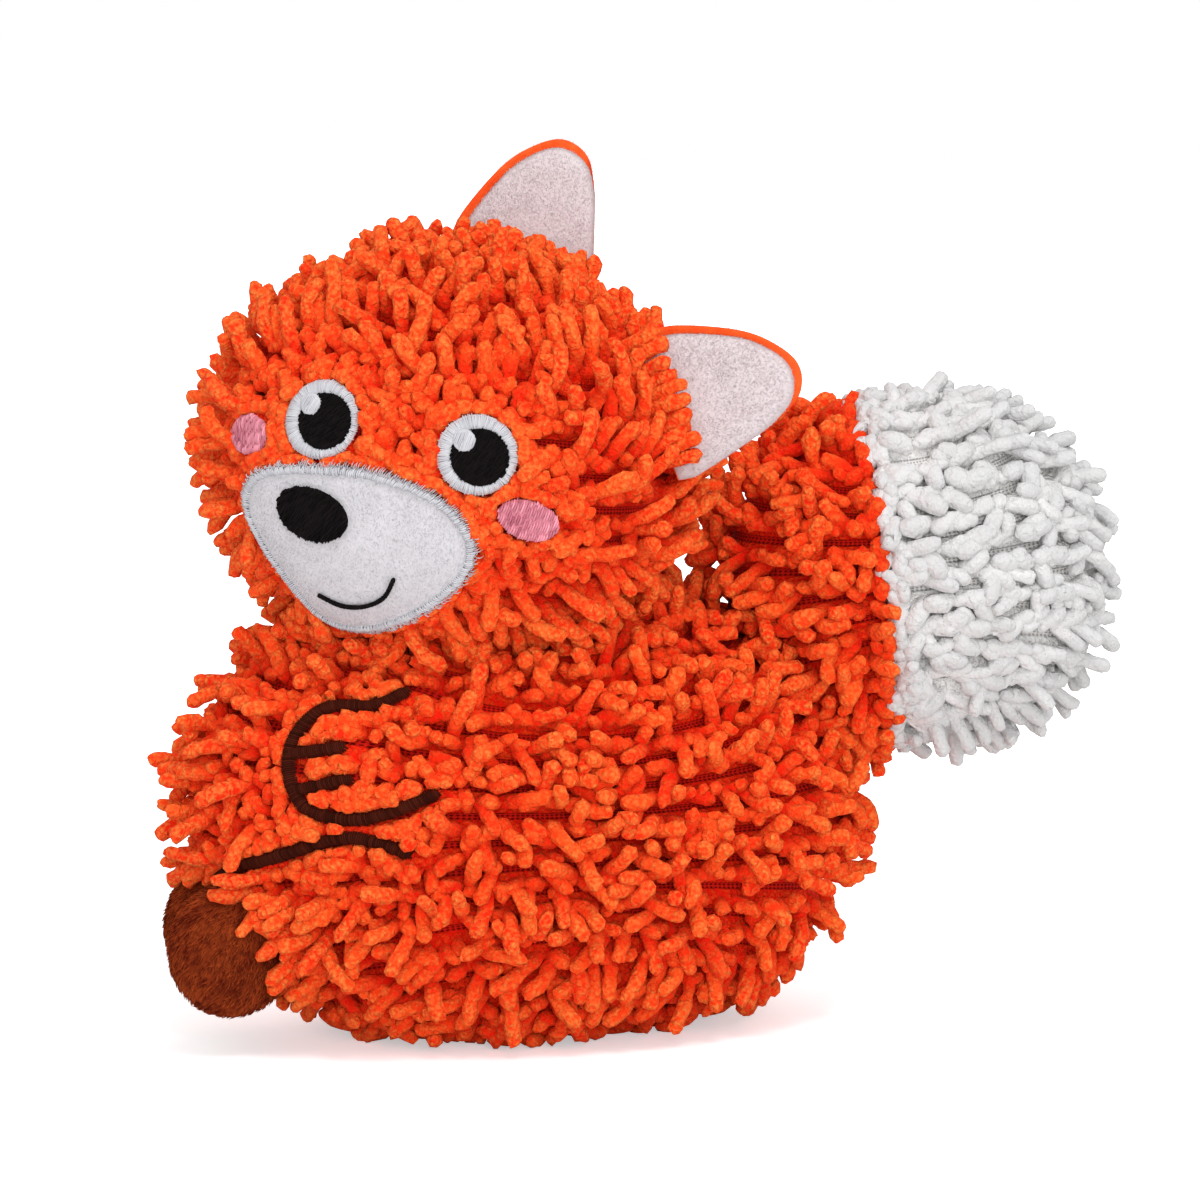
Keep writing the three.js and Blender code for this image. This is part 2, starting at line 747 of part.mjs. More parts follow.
// Finishes
const finishes = {
  orangeChenille: { color: 0xde4a22, roughness: 0.95, metalness: 0 },
  whiteChenille: { color: 0xe6e4e3, roughness: 0.95, metalness: 0 },
  whiteVelour: { color: 0xdcd2d6, roughness: 0.9, metalness: 0 },
  orangeVelour: { color: 0xe5663d, roughness: 0.9, metalness: 0 },
  brownVelour: { color: 0x7d2f1b, roughness: 0.9, metalness: 0 },
  whiteThread: { color: 0xe2e2e6, roughness: 0.5, metalness: 0 },
  blackThread: { color: 0x1c1718, roughness: 0.45, metalness: 0 },
  pinkThread: { color: 0xe58f9f, roughness: 0.5, metalness: 0 },
  brownThread: { color: 0x45150b, roughness: 0.5, metalness: 0 },
  fibreFilling: { color: 0xf2f0ec, roughness: 1, metalness: 0 },
  softPlastic: { color: 0xd8dce0, roughness: 0.35, metalness: 0 },
};

const fox = new THREE.Group();

function addPiece(name, solid, finish, frame) {
  const mesh = new THREE.Mesh(geometryOf(solid), new THREE.MeshStandardMaterial(finishes[finish]));
  mesh.name = name;
  if (frame) mesh.applyMatrix4(frame);
  fox.add(mesh);
}

addPiece('body_cover', bodyCover, 'orangeChenille');
addPiece('body_filling', bodyFilling, 'fibreFilling');
addPiece('head_cover', headCover, 'orangeChenille');
addPiece('head_filling', headFilling, 'fibreFilling');
addPiece('tail_cover', tailCover, 'orangeChenille');
addPiece('tail_tip_cover', tailTipCover, 'whiteChenille');
addPiece('tail_filling', tailFilling, 'fibreFilling');
addPiece('squeaker_bulb', squeakerBulb, 'softPlastic');
addPiece('squeaker_reed', squeakerReed, 'softPlastic');
addPiece('muzzle_patch', muzzlePatch, 'whiteVelour');
addPiece('muzzle_edge_stitching', muzzleStitching, 'whiteThread');
addPiece('nose', nose, 'blackThread');
addPiece('mouth', mouth, 'blackThread');

for (const [side, sideways] of [['left', 1], ['right', -1]]) {
  const foot = footPieces(sideways);
  addPiece(`foot_${side}_cover`, foot.cover, 'brownVelour');
  addPiece(`foot_${side}_filling`, foot.filling, 'fibreFilling');
  const frame = earFrame(earPlaces[side]);
  addPiece(`ear_${side}_front`, earFront, 'whiteVelour', frame);
  addPiece(`ear_${side}_back`, earBack, 'orangeVelour', frame);
  const face = eyePieces(faceSides[side]);
  addPiece(`eye_${side}_white`, face.eye_white, 'whiteThread');
  addPiece(`eye_${side}_pupil`, face.pupil, 'blackThread');
  addPiece(`eye_${side}_glint`, face.eye_glint, 'whiteThread');
  addPiece(`cheek_${side}`, face.cheek, 'pinkThread');
  addPiece(`hand_${side}_outline`, bodyLines(handLines, sideways), 'brownThread');
  const thigh = bodyLines(thighLines, sideways).subtract(foot.room);
  addPiece(`thigh_${side}_outline`, thigh, 'brownThread');
}

export default fox;
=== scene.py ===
# The looks of a sitting stuffed fox: chenille finger cloth, velour ears, muzzle and feet, and an
# embroidered face, hands and thighs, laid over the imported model.
import math

import bpy
import numpy as np
from mathutils import Matrix, Vector, kdtree


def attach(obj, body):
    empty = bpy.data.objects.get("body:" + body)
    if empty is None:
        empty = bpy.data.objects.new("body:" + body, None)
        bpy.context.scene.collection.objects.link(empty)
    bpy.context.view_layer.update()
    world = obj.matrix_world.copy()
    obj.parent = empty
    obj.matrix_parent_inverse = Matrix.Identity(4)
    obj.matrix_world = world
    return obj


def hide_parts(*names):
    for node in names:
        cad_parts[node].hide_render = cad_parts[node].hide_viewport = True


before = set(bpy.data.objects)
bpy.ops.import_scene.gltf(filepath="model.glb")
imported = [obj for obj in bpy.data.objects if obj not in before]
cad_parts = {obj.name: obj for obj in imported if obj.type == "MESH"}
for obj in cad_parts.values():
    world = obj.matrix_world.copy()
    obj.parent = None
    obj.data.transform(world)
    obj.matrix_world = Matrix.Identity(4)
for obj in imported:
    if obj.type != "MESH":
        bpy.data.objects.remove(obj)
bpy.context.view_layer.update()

# Lengths in this file are millimetres, as a toy's pattern is drawn, and meshes are made in metres.
MM = 0.001

# Clear space between neighbouring pieces
GAP = 0.3
# How deep under a form's surface its chenille cover ends, and the cover's knitted ground lies
FINGER_PILE = 4.0
GROUND_DEPTH, WHITE_GROUND_DEPTH = 3.3, 2.4
# Velour's thickness, and the heights at which pieces sewn on the cloth and on velour start
VELOUR = 1.6
LIFT = 1.1 * GAP
ON_PATCH = LIFT + VELOUR + GAP
# The cloth's rows, and the fingers along a row
ROW_PITCH, FINGER_PITCH = 6.2, 4.0
# Where the tail's two cloths meet, behind the middle of the tail's form
TAIL_SEAM = 7.0
# How far the cloth stays off the floor
FLOOR_CLEAR = 0.15


# ---------------------------------------------------------------- forms
def heading(left, up):
    """Direction in a form's own axes, in degrees: 0 is forwards, positive turns to its left and up."""
    a, b = np.broadcast_arrays(np.radians(left), np.radians(up))
    return np.stack([np.sin(a) * np.cos(b), -np.cos(a) * np.cos(b), np.sin(b)], -1)


def angles(d):
    """The heading of a direction, in degrees to the left and up."""
    return np.degrees(np.arctan2(d[..., 0], -d[..., 1])), np.degrees(np.arcsin(np.clip(d[..., 2], -1, 1)))


def unit(v):
    """Vectors brought to length 1."""
    return v / np.maximum(np.linalg.norm(v, axis=-1, keepdims=True), 1e-9)


def smooth(x):
    """An eased step from 0 to 1."""
    x = np.clip(x, 0, 1)
    return x * x * (3 - 2 * x)


def curve_between(a, b, c, d, t):
    """The point of a smooth curve at share t of the way from b to c, with a before them and d after."""
    straight = b + t / 2 * (c - a)
    return straight + t**2 / 2 * (2 * a - 5 * b + 4 * c - d) + t**3 / 2 * (3 * b - a - 3 * c + d)


def distance_along(points):
    """How far along a line each of its points lies."""
    return np.concatenate([[0], np.cumsum(np.linalg.norm(np.diff(points, axis=0), axis=1))])


def read_off(want, along, values):
    """Vectors of a line, read off at some distances along it."""
    return np.stack([np.interp(want, along, values[:, i]) for i in range(3)], -1)


class Form:
    """A stuffed form: a radius for each direction, with swellings and pressed places, turned and placed."""

    def __init__(self, side, front, above, below=None, swells=(), presses=(), pose=(0, 0, 0),
                 centre=(0, 0, 0)):
        self.axes = side, front, above, below or above
        self.swells = [(heading(*towards), by, spread) for towards, by, spread in swells]
        self.presses = [(heading(*towards), depth) for towards, depth in presses]
        turn, tilt, tip = (math.radians(a) for a in pose)
        turned = Matrix.Rotation(turn, 3, "Z") @ Matrix.Rotation(tilt, 3, "X") @ Matrix.Rotation(tip, 3, "Y")
        self.turn = np.array(turned)
        self.centre = np.array(centre, float)
        self.lay = None

    def radius(self, d):
        """How far the form reaches in its own directions."""
        side, front, above, below = self.axes
        height = np.where(d[..., 2] < 0, below, above)
        r = 1 / np.sqrt((d[..., 0] / side) ** 2 + (d[..., 1] / front) ** 2 + (d[..., 2] / height) ** 2)
        for towards, by, spread in self.swells:
            angle = np.degrees(np.arccos(np.clip(d @ towards, -1, 1)))
            r = r + by * np.exp(-((angle / spread) ** 2))
        for towards, depth in self.presses:
            flat = depth / np.clip(d @ towards, 1e-3, None)
            r = (r**-8.0 + flat**-8.0) ** (-1 / 8)
        return r

    def point(self, d, out=0.0):
        """Points of the form in space, raised by a height."""
        return self.centre + (d * (self.radius(d) + out)[..., None]) @ self.turn.T

    def own(self, p):
        """Direction of points in own axes, and their height above the surface."""
        q = (p - self.centre) @ self.turn
        reach = np.linalg.norm(q, axis=-1)
        d = q / reach[..., None]
        return d, reach - self.radius(d)

    def normal(self, p):
        """Which way the surface faces at points in space."""
        slopes = [self.own(p + 0.05 * e)[1] - self.own(p - 0.05 * e)[1] for e in np.eye(3)]
        return unit(np.stack(slopes, -1))

    def lay_cloth(self, height_at):
        """Keeps a table of how high the knitted ground lies over the form, for each direction."""
        left, up = np.meshgrid(np.arange(-180, 181, 2.0), np.arange(-90, 91, 2.0))
        self.lay = height_at(heading(left, up))

    def cloth(self, d):
        """How high the knitted ground lies over the form."""
        if self.lay is None:
            return np.zeros(d.shape[:-1])
        left, up = angles(d)
        left, up = left / 2 + 90, up / 2 + 45
        i, j = np.clip(up.astype(int), 0, 89), np.clip(left.astype(int), 0, 179)
        s, t = up - i, left - j
        row = self.lay[i, j] * (1 - t) + self.lay[i, j + 1] * t
        return row * (1 - s) + (self.lay[i + 1, j] * (1 - t) + self.lay[i + 1, j + 1] * t) * s

    def on_cloth(self, d, out=0.0):
        """Points of the knitted ground in space, raised by a height."""
        return self.point(d, self.cloth(d) + out)


body = Form(41, 62, 44, 52, swells=[((0, 19), 4.5, 32), ((180, 0), 1.5, 40)], presses=[((0, -90), 44.4)])
body.centre = np.array([0, -1.5, body.radius(heading(0, -90)) - 1.3])
head = Form(
    43.5, 43, 35.5, swells=[((3, -27), 5.5, 30)], presses=[((10, 6), 40)],
    pose=(44, 0, 13), centre=body.centre + (2, -15.1, 66),
)
tail = Form(
    27, 37, 32, swells=[((0, -53), 8, 34), ((180, -43), 4.5, 30)],
    pose=(-14, 6, 0), centre=body.centre + (10, 69.5, 44),
)
feet = {
    side: Form(9, 11.8, 12.4, centre=body.point(heading(turn, -20), stand))
    for side, turn, stand in (("left", 8.7, 4.6), ("right", -8.7, 0.1))
}


class Patch:
    """A closed outline on a form, in millimetres to the left and up from its middle."""

    def __init__(self, form, middle, outline):
        self.form, self.middle = form, middle
        self.left = unit(np.array([-middle[1], middle[0], 0.0]))
        self.up = np.cross(middle, self.left)
        self.scale = float(form.radius(middle))
        bearing, reach = self.polar(outline)
        order = np.argsort(bearing)
        self.bearings, self.reaches = bearing[order], reach[order]

    @classmethod
    def ellipse(cls, form, middle, half_width, half_height, tilt=0.0):
        """An elliptic outline, tilted by some degrees."""
        made = cls(form, middle, middle[None])
        t = np.linspace(0, 2 * np.pi, 96, endpoint=False)
        x, y, a = half_width * np.cos(t), half_height * np.sin(t), math.radians(tilt)
        outline = made.at(x * math.cos(a) - y * math.sin(a), x * math.sin(a) + y * math.cos(a))
        return cls(form, middle, outline)

    def at(self, x, y):
        """Directions of places so many millimetres to the left and up from the middle."""
        reach = np.hypot(x, y)
        turn = reach / self.scale
        aim = (x[..., None] * self.left + y[..., None] * self.up) / np.maximum(reach, 1e-9)[..., None]
        return np.cos(turn)[..., None] * self.middle + np.sin(turn)[..., None] * aim

    def polar(self, d):
        """The bearing of directions round the middle, and how far from it they lie."""
        angle = np.arccos(np.clip(d @ self.middle, -1, 1))
        return np.arctan2(d @ self.up, d @ self.left), angle * self.scale

    def edge(self, bearing):
        """How far out the outline lies at a bearing round the middle."""
        return np.interp(bearing, self.bearings, self.reaches, period=2 * np.pi)

    def beyond(self, d):
        """How far a direction lies outside the outline, in millimetres."""
        bearing, reach = self.polar(d)
        return reach - self.edge(bearing)

    def ring(self, bearing, reach):
        """Directions at a bearing round the middle and a distance from it."""
        return self.at(reach * np.cos(bearing), reach * np.sin(bearing))


def rounded(points, count, loop=False):
    """A smooth line through points, as `count` points at even steps along it."""
    points = np.asarray(points, float)
    n = len(points)
    around = np.vstack([points[-1:], points, points[:2]]) if loop else np.vstack(
        [2 * points[0] - points[1], points, 2 * points[-1] - points[-2]])
    fine = []
    for k in range(n if loop else n - 1):
        a, b, c, d = around[k : k + 4]
        t = np.linspace(0, 1, 24, endpoint=False)[:, None]
        fine.append(curve_between(a, b, c, d, t))
    fine = np.vstack(fine + [points[:1] if loop else points[-1:]])
    along = distance_along(fine)
    return read_off(np.linspace(0, along[-1], count, endpoint=not loop), along, fine)


# ---------------------------------------------------------------- where the face and the lines lie
# Each place is a heading on the head or body, in degrees to its left and up
MUZZLE = [
    (-29.2, -17), (-27, -9.9), (-20, -5.6), (-10.9, -2.8), (1.9, -0.4), (14.3, -0.6),
    (23.7, -2.6), (31.2, -6.9), (35, -13), (33.7, -20.4), (27.9, -28.8), (18.2, -37.2),
    (7, -42.4), (-5.5, -43), (-14.6, -33), (-23.6, -24.4),
]
MOUTH = [(-3, -31.8), (3.6, -33), (10.3, -31.6), (15.1, -28.1), (17, -22.7)]
FACE = {
    "right": {"eye": (-12.2, 8.9), "pupil": (-10.8, 8.7), "glint": (-16, 11.6), "cheek": (-32.7, -0.9)},
    "left": {"eye": (30.8, 10.1), "pupil": (31.6, 9.6), "glint": (27, 13), "cheek": (46, -3.4)},
}
HAND = [
    (39.8, 31.1), (34.1, 26.2), (24.5, 23), (21.6, 14.4), (25.5, 5.4), (34.3, 3.4), (41.8, 5.7), (50.1, 9.9),
]
UPPER_FINGER = [(21.6, 14), (26, 15.2), (31.5, 17.1)]
LOWER_FINGER = [(23.5, 7.6), (28, 9.2), (33.8, 11.2)]
THIGH = [(5, -9.4), (12.4, -6.3), (20.6, -4), (31.5, -0.3), (38.2, -0.9), (44.9, -3.7)]
SIDES = {"left": 1, "right": -1}

muzzle = Patch(head, heading(3, -21), unit(rounded([heading(*h) for h in MUZZLE], 96, loop=True)))
nose = Patch.ellipse(head, heading(-6.6, -13.2), 6.8, 4.3, -6)
eyes, pupils, glints, cheeks = {}, {}, {}, {}
for side, places in FACE.items():
    eyes[side] = Patch.ellipse(head, heading(*places["eye"]), 6.95, 6.95)
    pupils[side] = Patch.ellipse(head, heading(*places["pupil"]), 5.05, 5.05)
    glints[side] = Patch.ellipse(head, heading(*places["glint"]), 1.9, 1.9)
    cheeks[side] = Patch.ellipse(head, heading(*places["cheek"]), 5.6, 3.5, -8 * SIDES[side])


def line_on(places, count, sideways=1):
    """Directions along an embroidered line."""
    return unit(rounded([heading(sideways * left, up) for left, up in places], count))


hands, thighs = {}, {}
for side, sideways in SIDES.items():
    hands[side] = [line_on(places, count, sideways) for places, count in
                   ((HAND, 200), (UPPER_FINGER, 40), (LOWER_FINGER, 40))]
    thighs[side] = line_on(THIGH, 150, sideways)
drawn = np.vstack([d for side in SIDES for d in (*hands[side], thighs[side])])[::3]
drawn_points = body.point(drawn)
face_patches = [muzzle, *eyes.values(), *cheeks.values()]


def nearest(points, samples):
    """Distance from points to the nearest of some samples, and which one that is."""
    flat = points.reshape(-1, 3)
    far = np.empty(len(flat))
    which = np.empty(len(flat), int)
    for start in range(0, len(flat), 4000):
        part = np.linalg.norm(flat[start : start + 4000, None] - samples[None], axis=2)
        which[start : start + 4000] = part.argmin(1)
        far[start : start + 4000] = part.min(1)
    return far.reshape(points.shape[:-1]), which.reshape(points.shape[:-1])


def head_cloth_height(d):
    """The ground comes up to the surface under the patches of the face."""
    near = np.min([p.beyond(d) for p in face_patches], axis=0)
    return -GROUND_DEPTH + (GROUND_DEPTH - 0.4) * smooth(1 - near / 4.5)


def body_cloth_height(d):
    """The ground comes up to the surface along the stitched lines."""
    near, _ = nearest(body.point(d), drawn_points)
    return -GROUND_DEPTH + (GROUND_DEPTH - 0.4) * smooth(1 - (near - 1.3) / 3.5)


def tail_cloth_height(d):
    """The ground of the white cloth lies less deep."""
    past_seam = d[..., 1] * tail.radius(d) + TAIL_SEAM
    return -GROUND_DEPTH + (GROUND_DEPTH - WHITE_GROUND_DEPTH) * smooth(past_seam / 4 + 0.5)


head.lay_cloth(head_cloth_height)
body.lay_cloth(body_cloth_height)
tail.lay_cloth(tail_cloth_height)


# ---------------------------------------------------------------- ears' places
# How much back panel shows round the front one, and how high the seam roll's middle lies over the head
EAR_WIDTH, EAR_HEIGHT, EAR_RIM, EAR_SEAM = 27.5, 23.5, 1.6, 1.3
# How thick a panel is at its edge, how much more in its middle, and how deep the ear cups
EAR_EDGE, EAR_PAD, EAR_CUP = 0.8, 0.9, 1.6
# Each ear's heading, the turn of its seam and its lean, in degrees
EAR_PLACES = {"right": (-168, 62, -174, -8), "left": (94, 25.5, -91, 19)}
EAR_OUTLINE = [
    (-1, 0), (-0.92, 0.25), (-0.6, 0.64), (-0.29, 0.86), (0.12, 1),
    (0.5, 0.93), (0.72, 0.69), (0.86, 0.38), (1, 0),
]


def ear_frame(left, up, run, lean):
    """The seam's middle on the head, and the ear's own axes: along the seam, backwards, and up."""
    place = heading(left, up)
    leftwards = unit(np.array([-place[1], place[0], 0.0]))
    upwards = np.cross(place, leftwards)
    near = [head.point(unit(place + math.radians(1) * way)) for way in (leftwards, upwards)]
    seat = head.point(place)
    along_left = unit(near[0] - seat)
    outwards = unit(np.cross(along_left, near[1] - seat))
    along_up = np.cross(outwards, along_left)
    turn = math.radians(run)
    hinge = along_left * math.cos(turn) + along_up * math.sin(turn)
    a = math.radians(-lean)
    height = outwards * math.cos(a) + np.cross(hinge, outwards) * math.sin(a)
    return seat + outwards * (GAP + EAR_SEAM), np.stack([hinge, np.cross(height, hinge), height])


ear_frames = {side: ear_frame(*place) for side, place in EAR_PLACES.items()}


# ---------------------------------------------------------------- materials
def colour(text):
    """An sRGB hex colour as linear RGBA."""
    parts = [int(text[i : i + 2], 16) / 255 for i in (0, 2, 4)]
    return [c / 12.92 if c <= 0.04045 else ((c + 0.055) / 1.055) ** 2.4 for c in parts] + [1]


def add(tree, kind, inputs=None, **settings):
    """Adds a node and sets or links its inputs. A node as an input stands for its first live output."""
    made = tree.nodes.new(kind)
    for key, value in settings.items():
        setattr(made, key, value)
    for key, value in (inputs or {}).items():
        if isinstance(value, bpy.types.Node):
            value = next(output for output in value.outputs if output.enabled)
        if isinstance(value, bpy.types.NodeSocket):
            tree.links.new(value, made.inputs[key])
        else:
            made.inputs[key].default_value = value
    return made


def finish_of(name, **constants):
    """A new material with a Principled shader whose plain values are set on its own sockets."""
    material = bpy.data.materials.new(name)
    material.use_nodes = True
    tree = material.node_tree
    shader = tree.nodes["Principled BSDF"]
    for key, value in constants.items():
        shader.inputs[key.replace("_", " ")].default_value = value
    return material, tree, shader


def surfaced(tree, shader, base, height, strength, distance):
    """Gives a shader its colour, and a relief to its surface."""
    tree.links.new(base.outputs[2], shader.inputs["Base Color"])
    bump = add(tree, "ShaderNodeBump", {"Strength": strength, "Distance": distance, "Height": height})
    tree.links.new(bump.outputs["Normal"], shader.inputs["Normal"])


def tufts(tree):
    """Knobs of cut fibre about 1 mm across, and creases round the yarn: 0 in the creases, up to about 1.4."""
    place = add(tree, "ShaderNodeTexCoord").outputs["Object"]
    waver = add(tree, "ShaderNodeTexNoise", {"Vector": place, "Scale": 1300.0, "Detail": 2.0})
    shift = add(tree, "ShaderNodeVectorMath", {0: waver.outputs["Color"], "Scale": 0.0008}, operation="SCALE")
    moved = add(tree, "ShaderNodeVectorMath", {0: place, 1: shift}, operation="ADD")
    cells = add(tree, "ShaderNodeTexVoronoi", {"Vector": moved, "Scale": 950.0})
    tops = add(tree, "ShaderNodeMapRange", {"Value": cells, "From Min": 0.75, "From Max": 0.05})
    # Single fibres are finer than a pixel, so they are drawn as wisps about 0.35 mm thick
    fibres = add(tree, "ShaderNodeTexNoise", {"Vector": place, "Scale": 2800.0, "Detail": 2.0})
    fine = add(tree, "ShaderNodeMath", {0: fibres, 1: 0.75, 2: tops}, operation="MULTIPLY_ADD")
    # The yarn's twist pinches it every 1.8 mm or so
    reach = add(tree, "ShaderNodeAttribute", attribute_name="reach").outputs["Fac"]
    uneven = add(tree, "ShaderNodeTexNoise", {"Vector": place, "Scale": 350.0})
    lap = add(tree, "ShaderNodeMath", {0: uneven, 1: 9.0, 2: reach}, operation="MULTIPLY_ADD")
    turned = add(tree, "ShaderNodeMath", {0: lap, 1: 2 * math.pi / 1.8}, operation="MULTIPLY")
    wave = add(tree, "ShaderNodeMath", {0: turned}, operation="SINE")
    pinched = add(tree, "ShaderNodeMath", {0: wave, 1: 0.16, 2: fine}, operation="MULTIPLY_ADD")
    return pinched


def chenille(name, root, low, high, top, knobs):
    """Brushed polyester chenille yarn: a matt, velvety pile. Painted shade colours it down in the pile, deep
    red in the orange and paler in the white to lift its shade, and the tufts' tips get painted highlights.
    """
    material, tree, shader = finish_of(
        name, Roughness=0.95, Specular_IOR_Level=0.1, Sheen_Weight=0.22, Sheen_Roughness=0.5,
        Sheen_Tint=colour(top),
    )
    tint = add(tree, "ShaderNodeAttribute", attribute_name="tint").outputs["Fac"]
    spread = add(tree, "ShaderNodeMapRange", {"Value": tint, "From Min": -1.0, "From Max": 1.0})
    yarn = add(tree, "ShaderNodeMix", {0: spread, 6: colour(low), 7: colour(high)}, data_type="RGBA")
    # How far out of the pile a point lies, in millimetres
    rise = add(tree, "ShaderNodeAttribute", attribute_name="rise").outputs["Fac"]
    # Painted shade: low in the pile the yarn takes the depths' colour instead of its own
    out = add(tree, "ShaderNodeMapRange", {"Value": rise, "From Min": 0.2, "From Max": 3.4})
    depth_painted_shade = add(tree, "ShaderNodeMix", {0: out, 6: colour(root), 7: yarn}, data_type="RGBA")
    # Painted highlight: the tips of the tufts are paler, most of all on the fingers that lie on top
    relief = tufts(tree)
    lit = add(tree, "ShaderNodeMapRange", {"Value": relief, "From Min": 0.3, "From Max": 1.5, "To Max": 0.7})
    raised = add(tree, "ShaderNodeMapRange", {"Value": rise, "From Min": 1.4, "From Max": 5.4, "To Min": 0.1})
    share = add(tree, "ShaderNodeMath", {0: lit, 1: raised}, operation="MULTIPLY")
    base = add(tree, "ShaderNodeMix", {0: share, 6: depth_painted_shade, 7: colour(top)}, data_type="RGBA")
    surfaced(tree, shader, base, relief, 1.0, knobs * MM)
    return material


def fringed_knit(name, pile, top, yarn, holes):
    """The ground of the finger cloth: rows of chenille loops with a narrow open warp-knitted mesh between,
    with painted highlights on the loops' tops and painted shade in the mesh's holes.
    """
    material, tree, shader = finish_of(name, Roughness=0.95, Specular_IOR_Level=0.1)
    uv = add(tree, "ShaderNodeTexCoord").outputs["UV"]
    split = add(tree, "ShaderNodeSeparateXYZ", {"Vector": uv})
    row = add(tree, "ShaderNodeMath", {0: split.outputs["Y"], 1: 1 / ROW_PITCH}, operation="MULTIPLY")
    share = add(tree, "ShaderNodeMath", {0: row}, operation="FRACT")
    middle = add(tree, "ShaderNodeMath", {0: share, 1: 0.5}, operation="SUBTRACT")
    off = add(tree, "ShaderNodeMath", {0: middle}, operation="ABSOLUTE")
    band = add(tree, "ShaderNodeMapRange", {"Value": off, "From Min": 0.36, "From Max": 0.41})
    # The mesh's holes are 0.95 mm apart along the rows, and ten to a row's pitch across them
    waves = []
    for axis, pitch in (("X", 0.95), ("Y", ROW_PITCH / 10)):
        turn = add(tree, "ShaderNodeMath", {0: split.outputs[axis], 1: 2 * math.pi / pitch},
                   operation="MULTIPLY")
        waves.append(add(tree, "ShaderNodeMath", {0: turn}, operation="SINE"))
    both = add(tree, "ShaderNodeMath", {0: waves[0], 1: waves[1]}, operation="ADD")
    hole = add(tree, "ShaderNodeMapRange", {"Value": both, "From Min": 0.3, "From Max": 1.2})
    # Painted shade: the holes take a dark colour where the shaded inside would show through
    mesh = add(tree, "ShaderNodeMix", {0: hole, 6: colour(yarn), 7: colour(holes)}, data_type="RGBA")
    relief = tufts(tree)
    # Painted highlight: the loops' tops are paler
    lit = add(tree, "ShaderNodeMapRange", {"Value": relief, "From Min": 0.4, "From Max": 1.3})
    loops = add(tree, "ShaderNodeMix", {0: lit, 6: colour(pile), 7: colour(top)}, data_type="RGBA")
    base = add(tree, "ShaderNodeMix", {0: band, 6: loops, 7: mesh}, data_type="RGBA")
    depth = add(tree, "ShaderNodeMath", {0: hole, 1: -0.7}, operation="MULTIPLY")
    height = add(tree, "ShaderNodeMix", {0: band, 2: relief, 3: depth})
    surfaced(tree, shader, base, height, 0.9, 0.6 * MM)
    return material


def velour(name, low, high, sheen, streaks=0.04):
    """Warp-knitted velour, cropped and brushed: a dense short nap, with painted light: paler and deeper in
    patches, for how the leaning nap catches the light.
    """
    material, tree, shader = finish_of(
        name, Roughness=0.95, Specular_IOR_Level=0.08, Sheen_Weight=0.12, Sheen_Roughness=0.4,
        Sheen_Tint=colour(sheen),
    )
    place = add(tree, "ShaderNodeTexCoord").outputs["Object"]
    # The brush leaves the nap leaning in patches about 4 mm across, and their paler and deeper colour is
    # painted light
    patches = add(tree, "ShaderNodeTexNoise", {
        "Vector": place, "Scale": 260.0, "Detail": 4.0, "Roughness": 0.65})
    tint = add(tree, "ShaderNodeAttribute", attribute_name="tint").outputs["Fac"]
    shade = add(tree, "ShaderNodeMath", {0: tint, 1: streaks, 2: patches}, operation="MULTIPLY_ADD")
    spread = add(tree, "ShaderNodeMapRange", {"Value": shade, "From Min": 0.25, "From Max": 0.8})
    base = add(tree, "ShaderNodeMix", {0: spread, 6: colour(low), 7: colour(high)}, data_type="RGBA")
    # Single fibres are finer than a pixel, so they are drawn about 0.45 mm thick
    nap = add(tree, "ShaderNodeTexNoise", {"Vector": place, "Scale": 2200.0, "Detail": 2.0})
    surfaced(tree, shader, base, nap, 0.5, 0.3 * MM)
    return material


def thread(name, low, high, roughness, gloss):
    """Polyester embroidery thread in satin and fill stitch: silky, each stitch a little apart in shade."""
    material, tree, shader = finish_of(name, Roughness=roughness, Specular_IOR_Level=gloss)
    tint = add(tree, "ShaderNodeAttribute", attribute_name="tint").outputs["Fac"]
    spread = add(tree, "ShaderNodeMapRange", {"Value": tint, "From Min": -1.0, "From Max": 1.0})
    base = add(tree, "ShaderNodeMix", {0: spread, 6: colour(low), 7: colour(high)}, data_type="RGBA")
    place = add(tree, "ShaderNodeTexCoord").outputs["Object"]
    # The twist of the thread shows as a grain of about 0.25 mm
    twist = add(tree, "ShaderNodeTexNoise", {"Vector": place, "Scale": 4000.0, "Detail": 1.0})
    surfaced(tree, shader, base, twist, 0.25, 0.1 * MM)
    return material


def plain(name, low, high, roughness, scale, depth):
    """Fibre filling and blow-moulded polythene: one colour with a fine unevenness."""
    material, tree, shader = finish_of(name, Roughness=roughness)
    place = add(tree, "ShaderNodeTexCoord").outputs["Object"]
    noise = add(tree, "ShaderNodeTexNoise", {"Vector": place, "Scale": scale, "Detail": 4.0})
    base = add(tree, "ShaderNodeMix", {0: noise, 6: colour(low), 7: colour(high)}, data_type="RGBA")
    surfaced(tree, shader, base, noise, 0.5, depth)
    return material


# Each chenille's colours: its painted shade in the pile's depths, its yarn low and high, and its tufts'
# painted highlight, also the tint of its sheen
orange_chenille = chenille("orange_polyester_chenille", "e60a03", "f4260a", "fb4817", "ff9c4a", 0.42)
white_chenille = chenille("white_polyester_chenille", "eceae9", "c8c7c7", "cccbcb", "d5d5d4", 0.22)
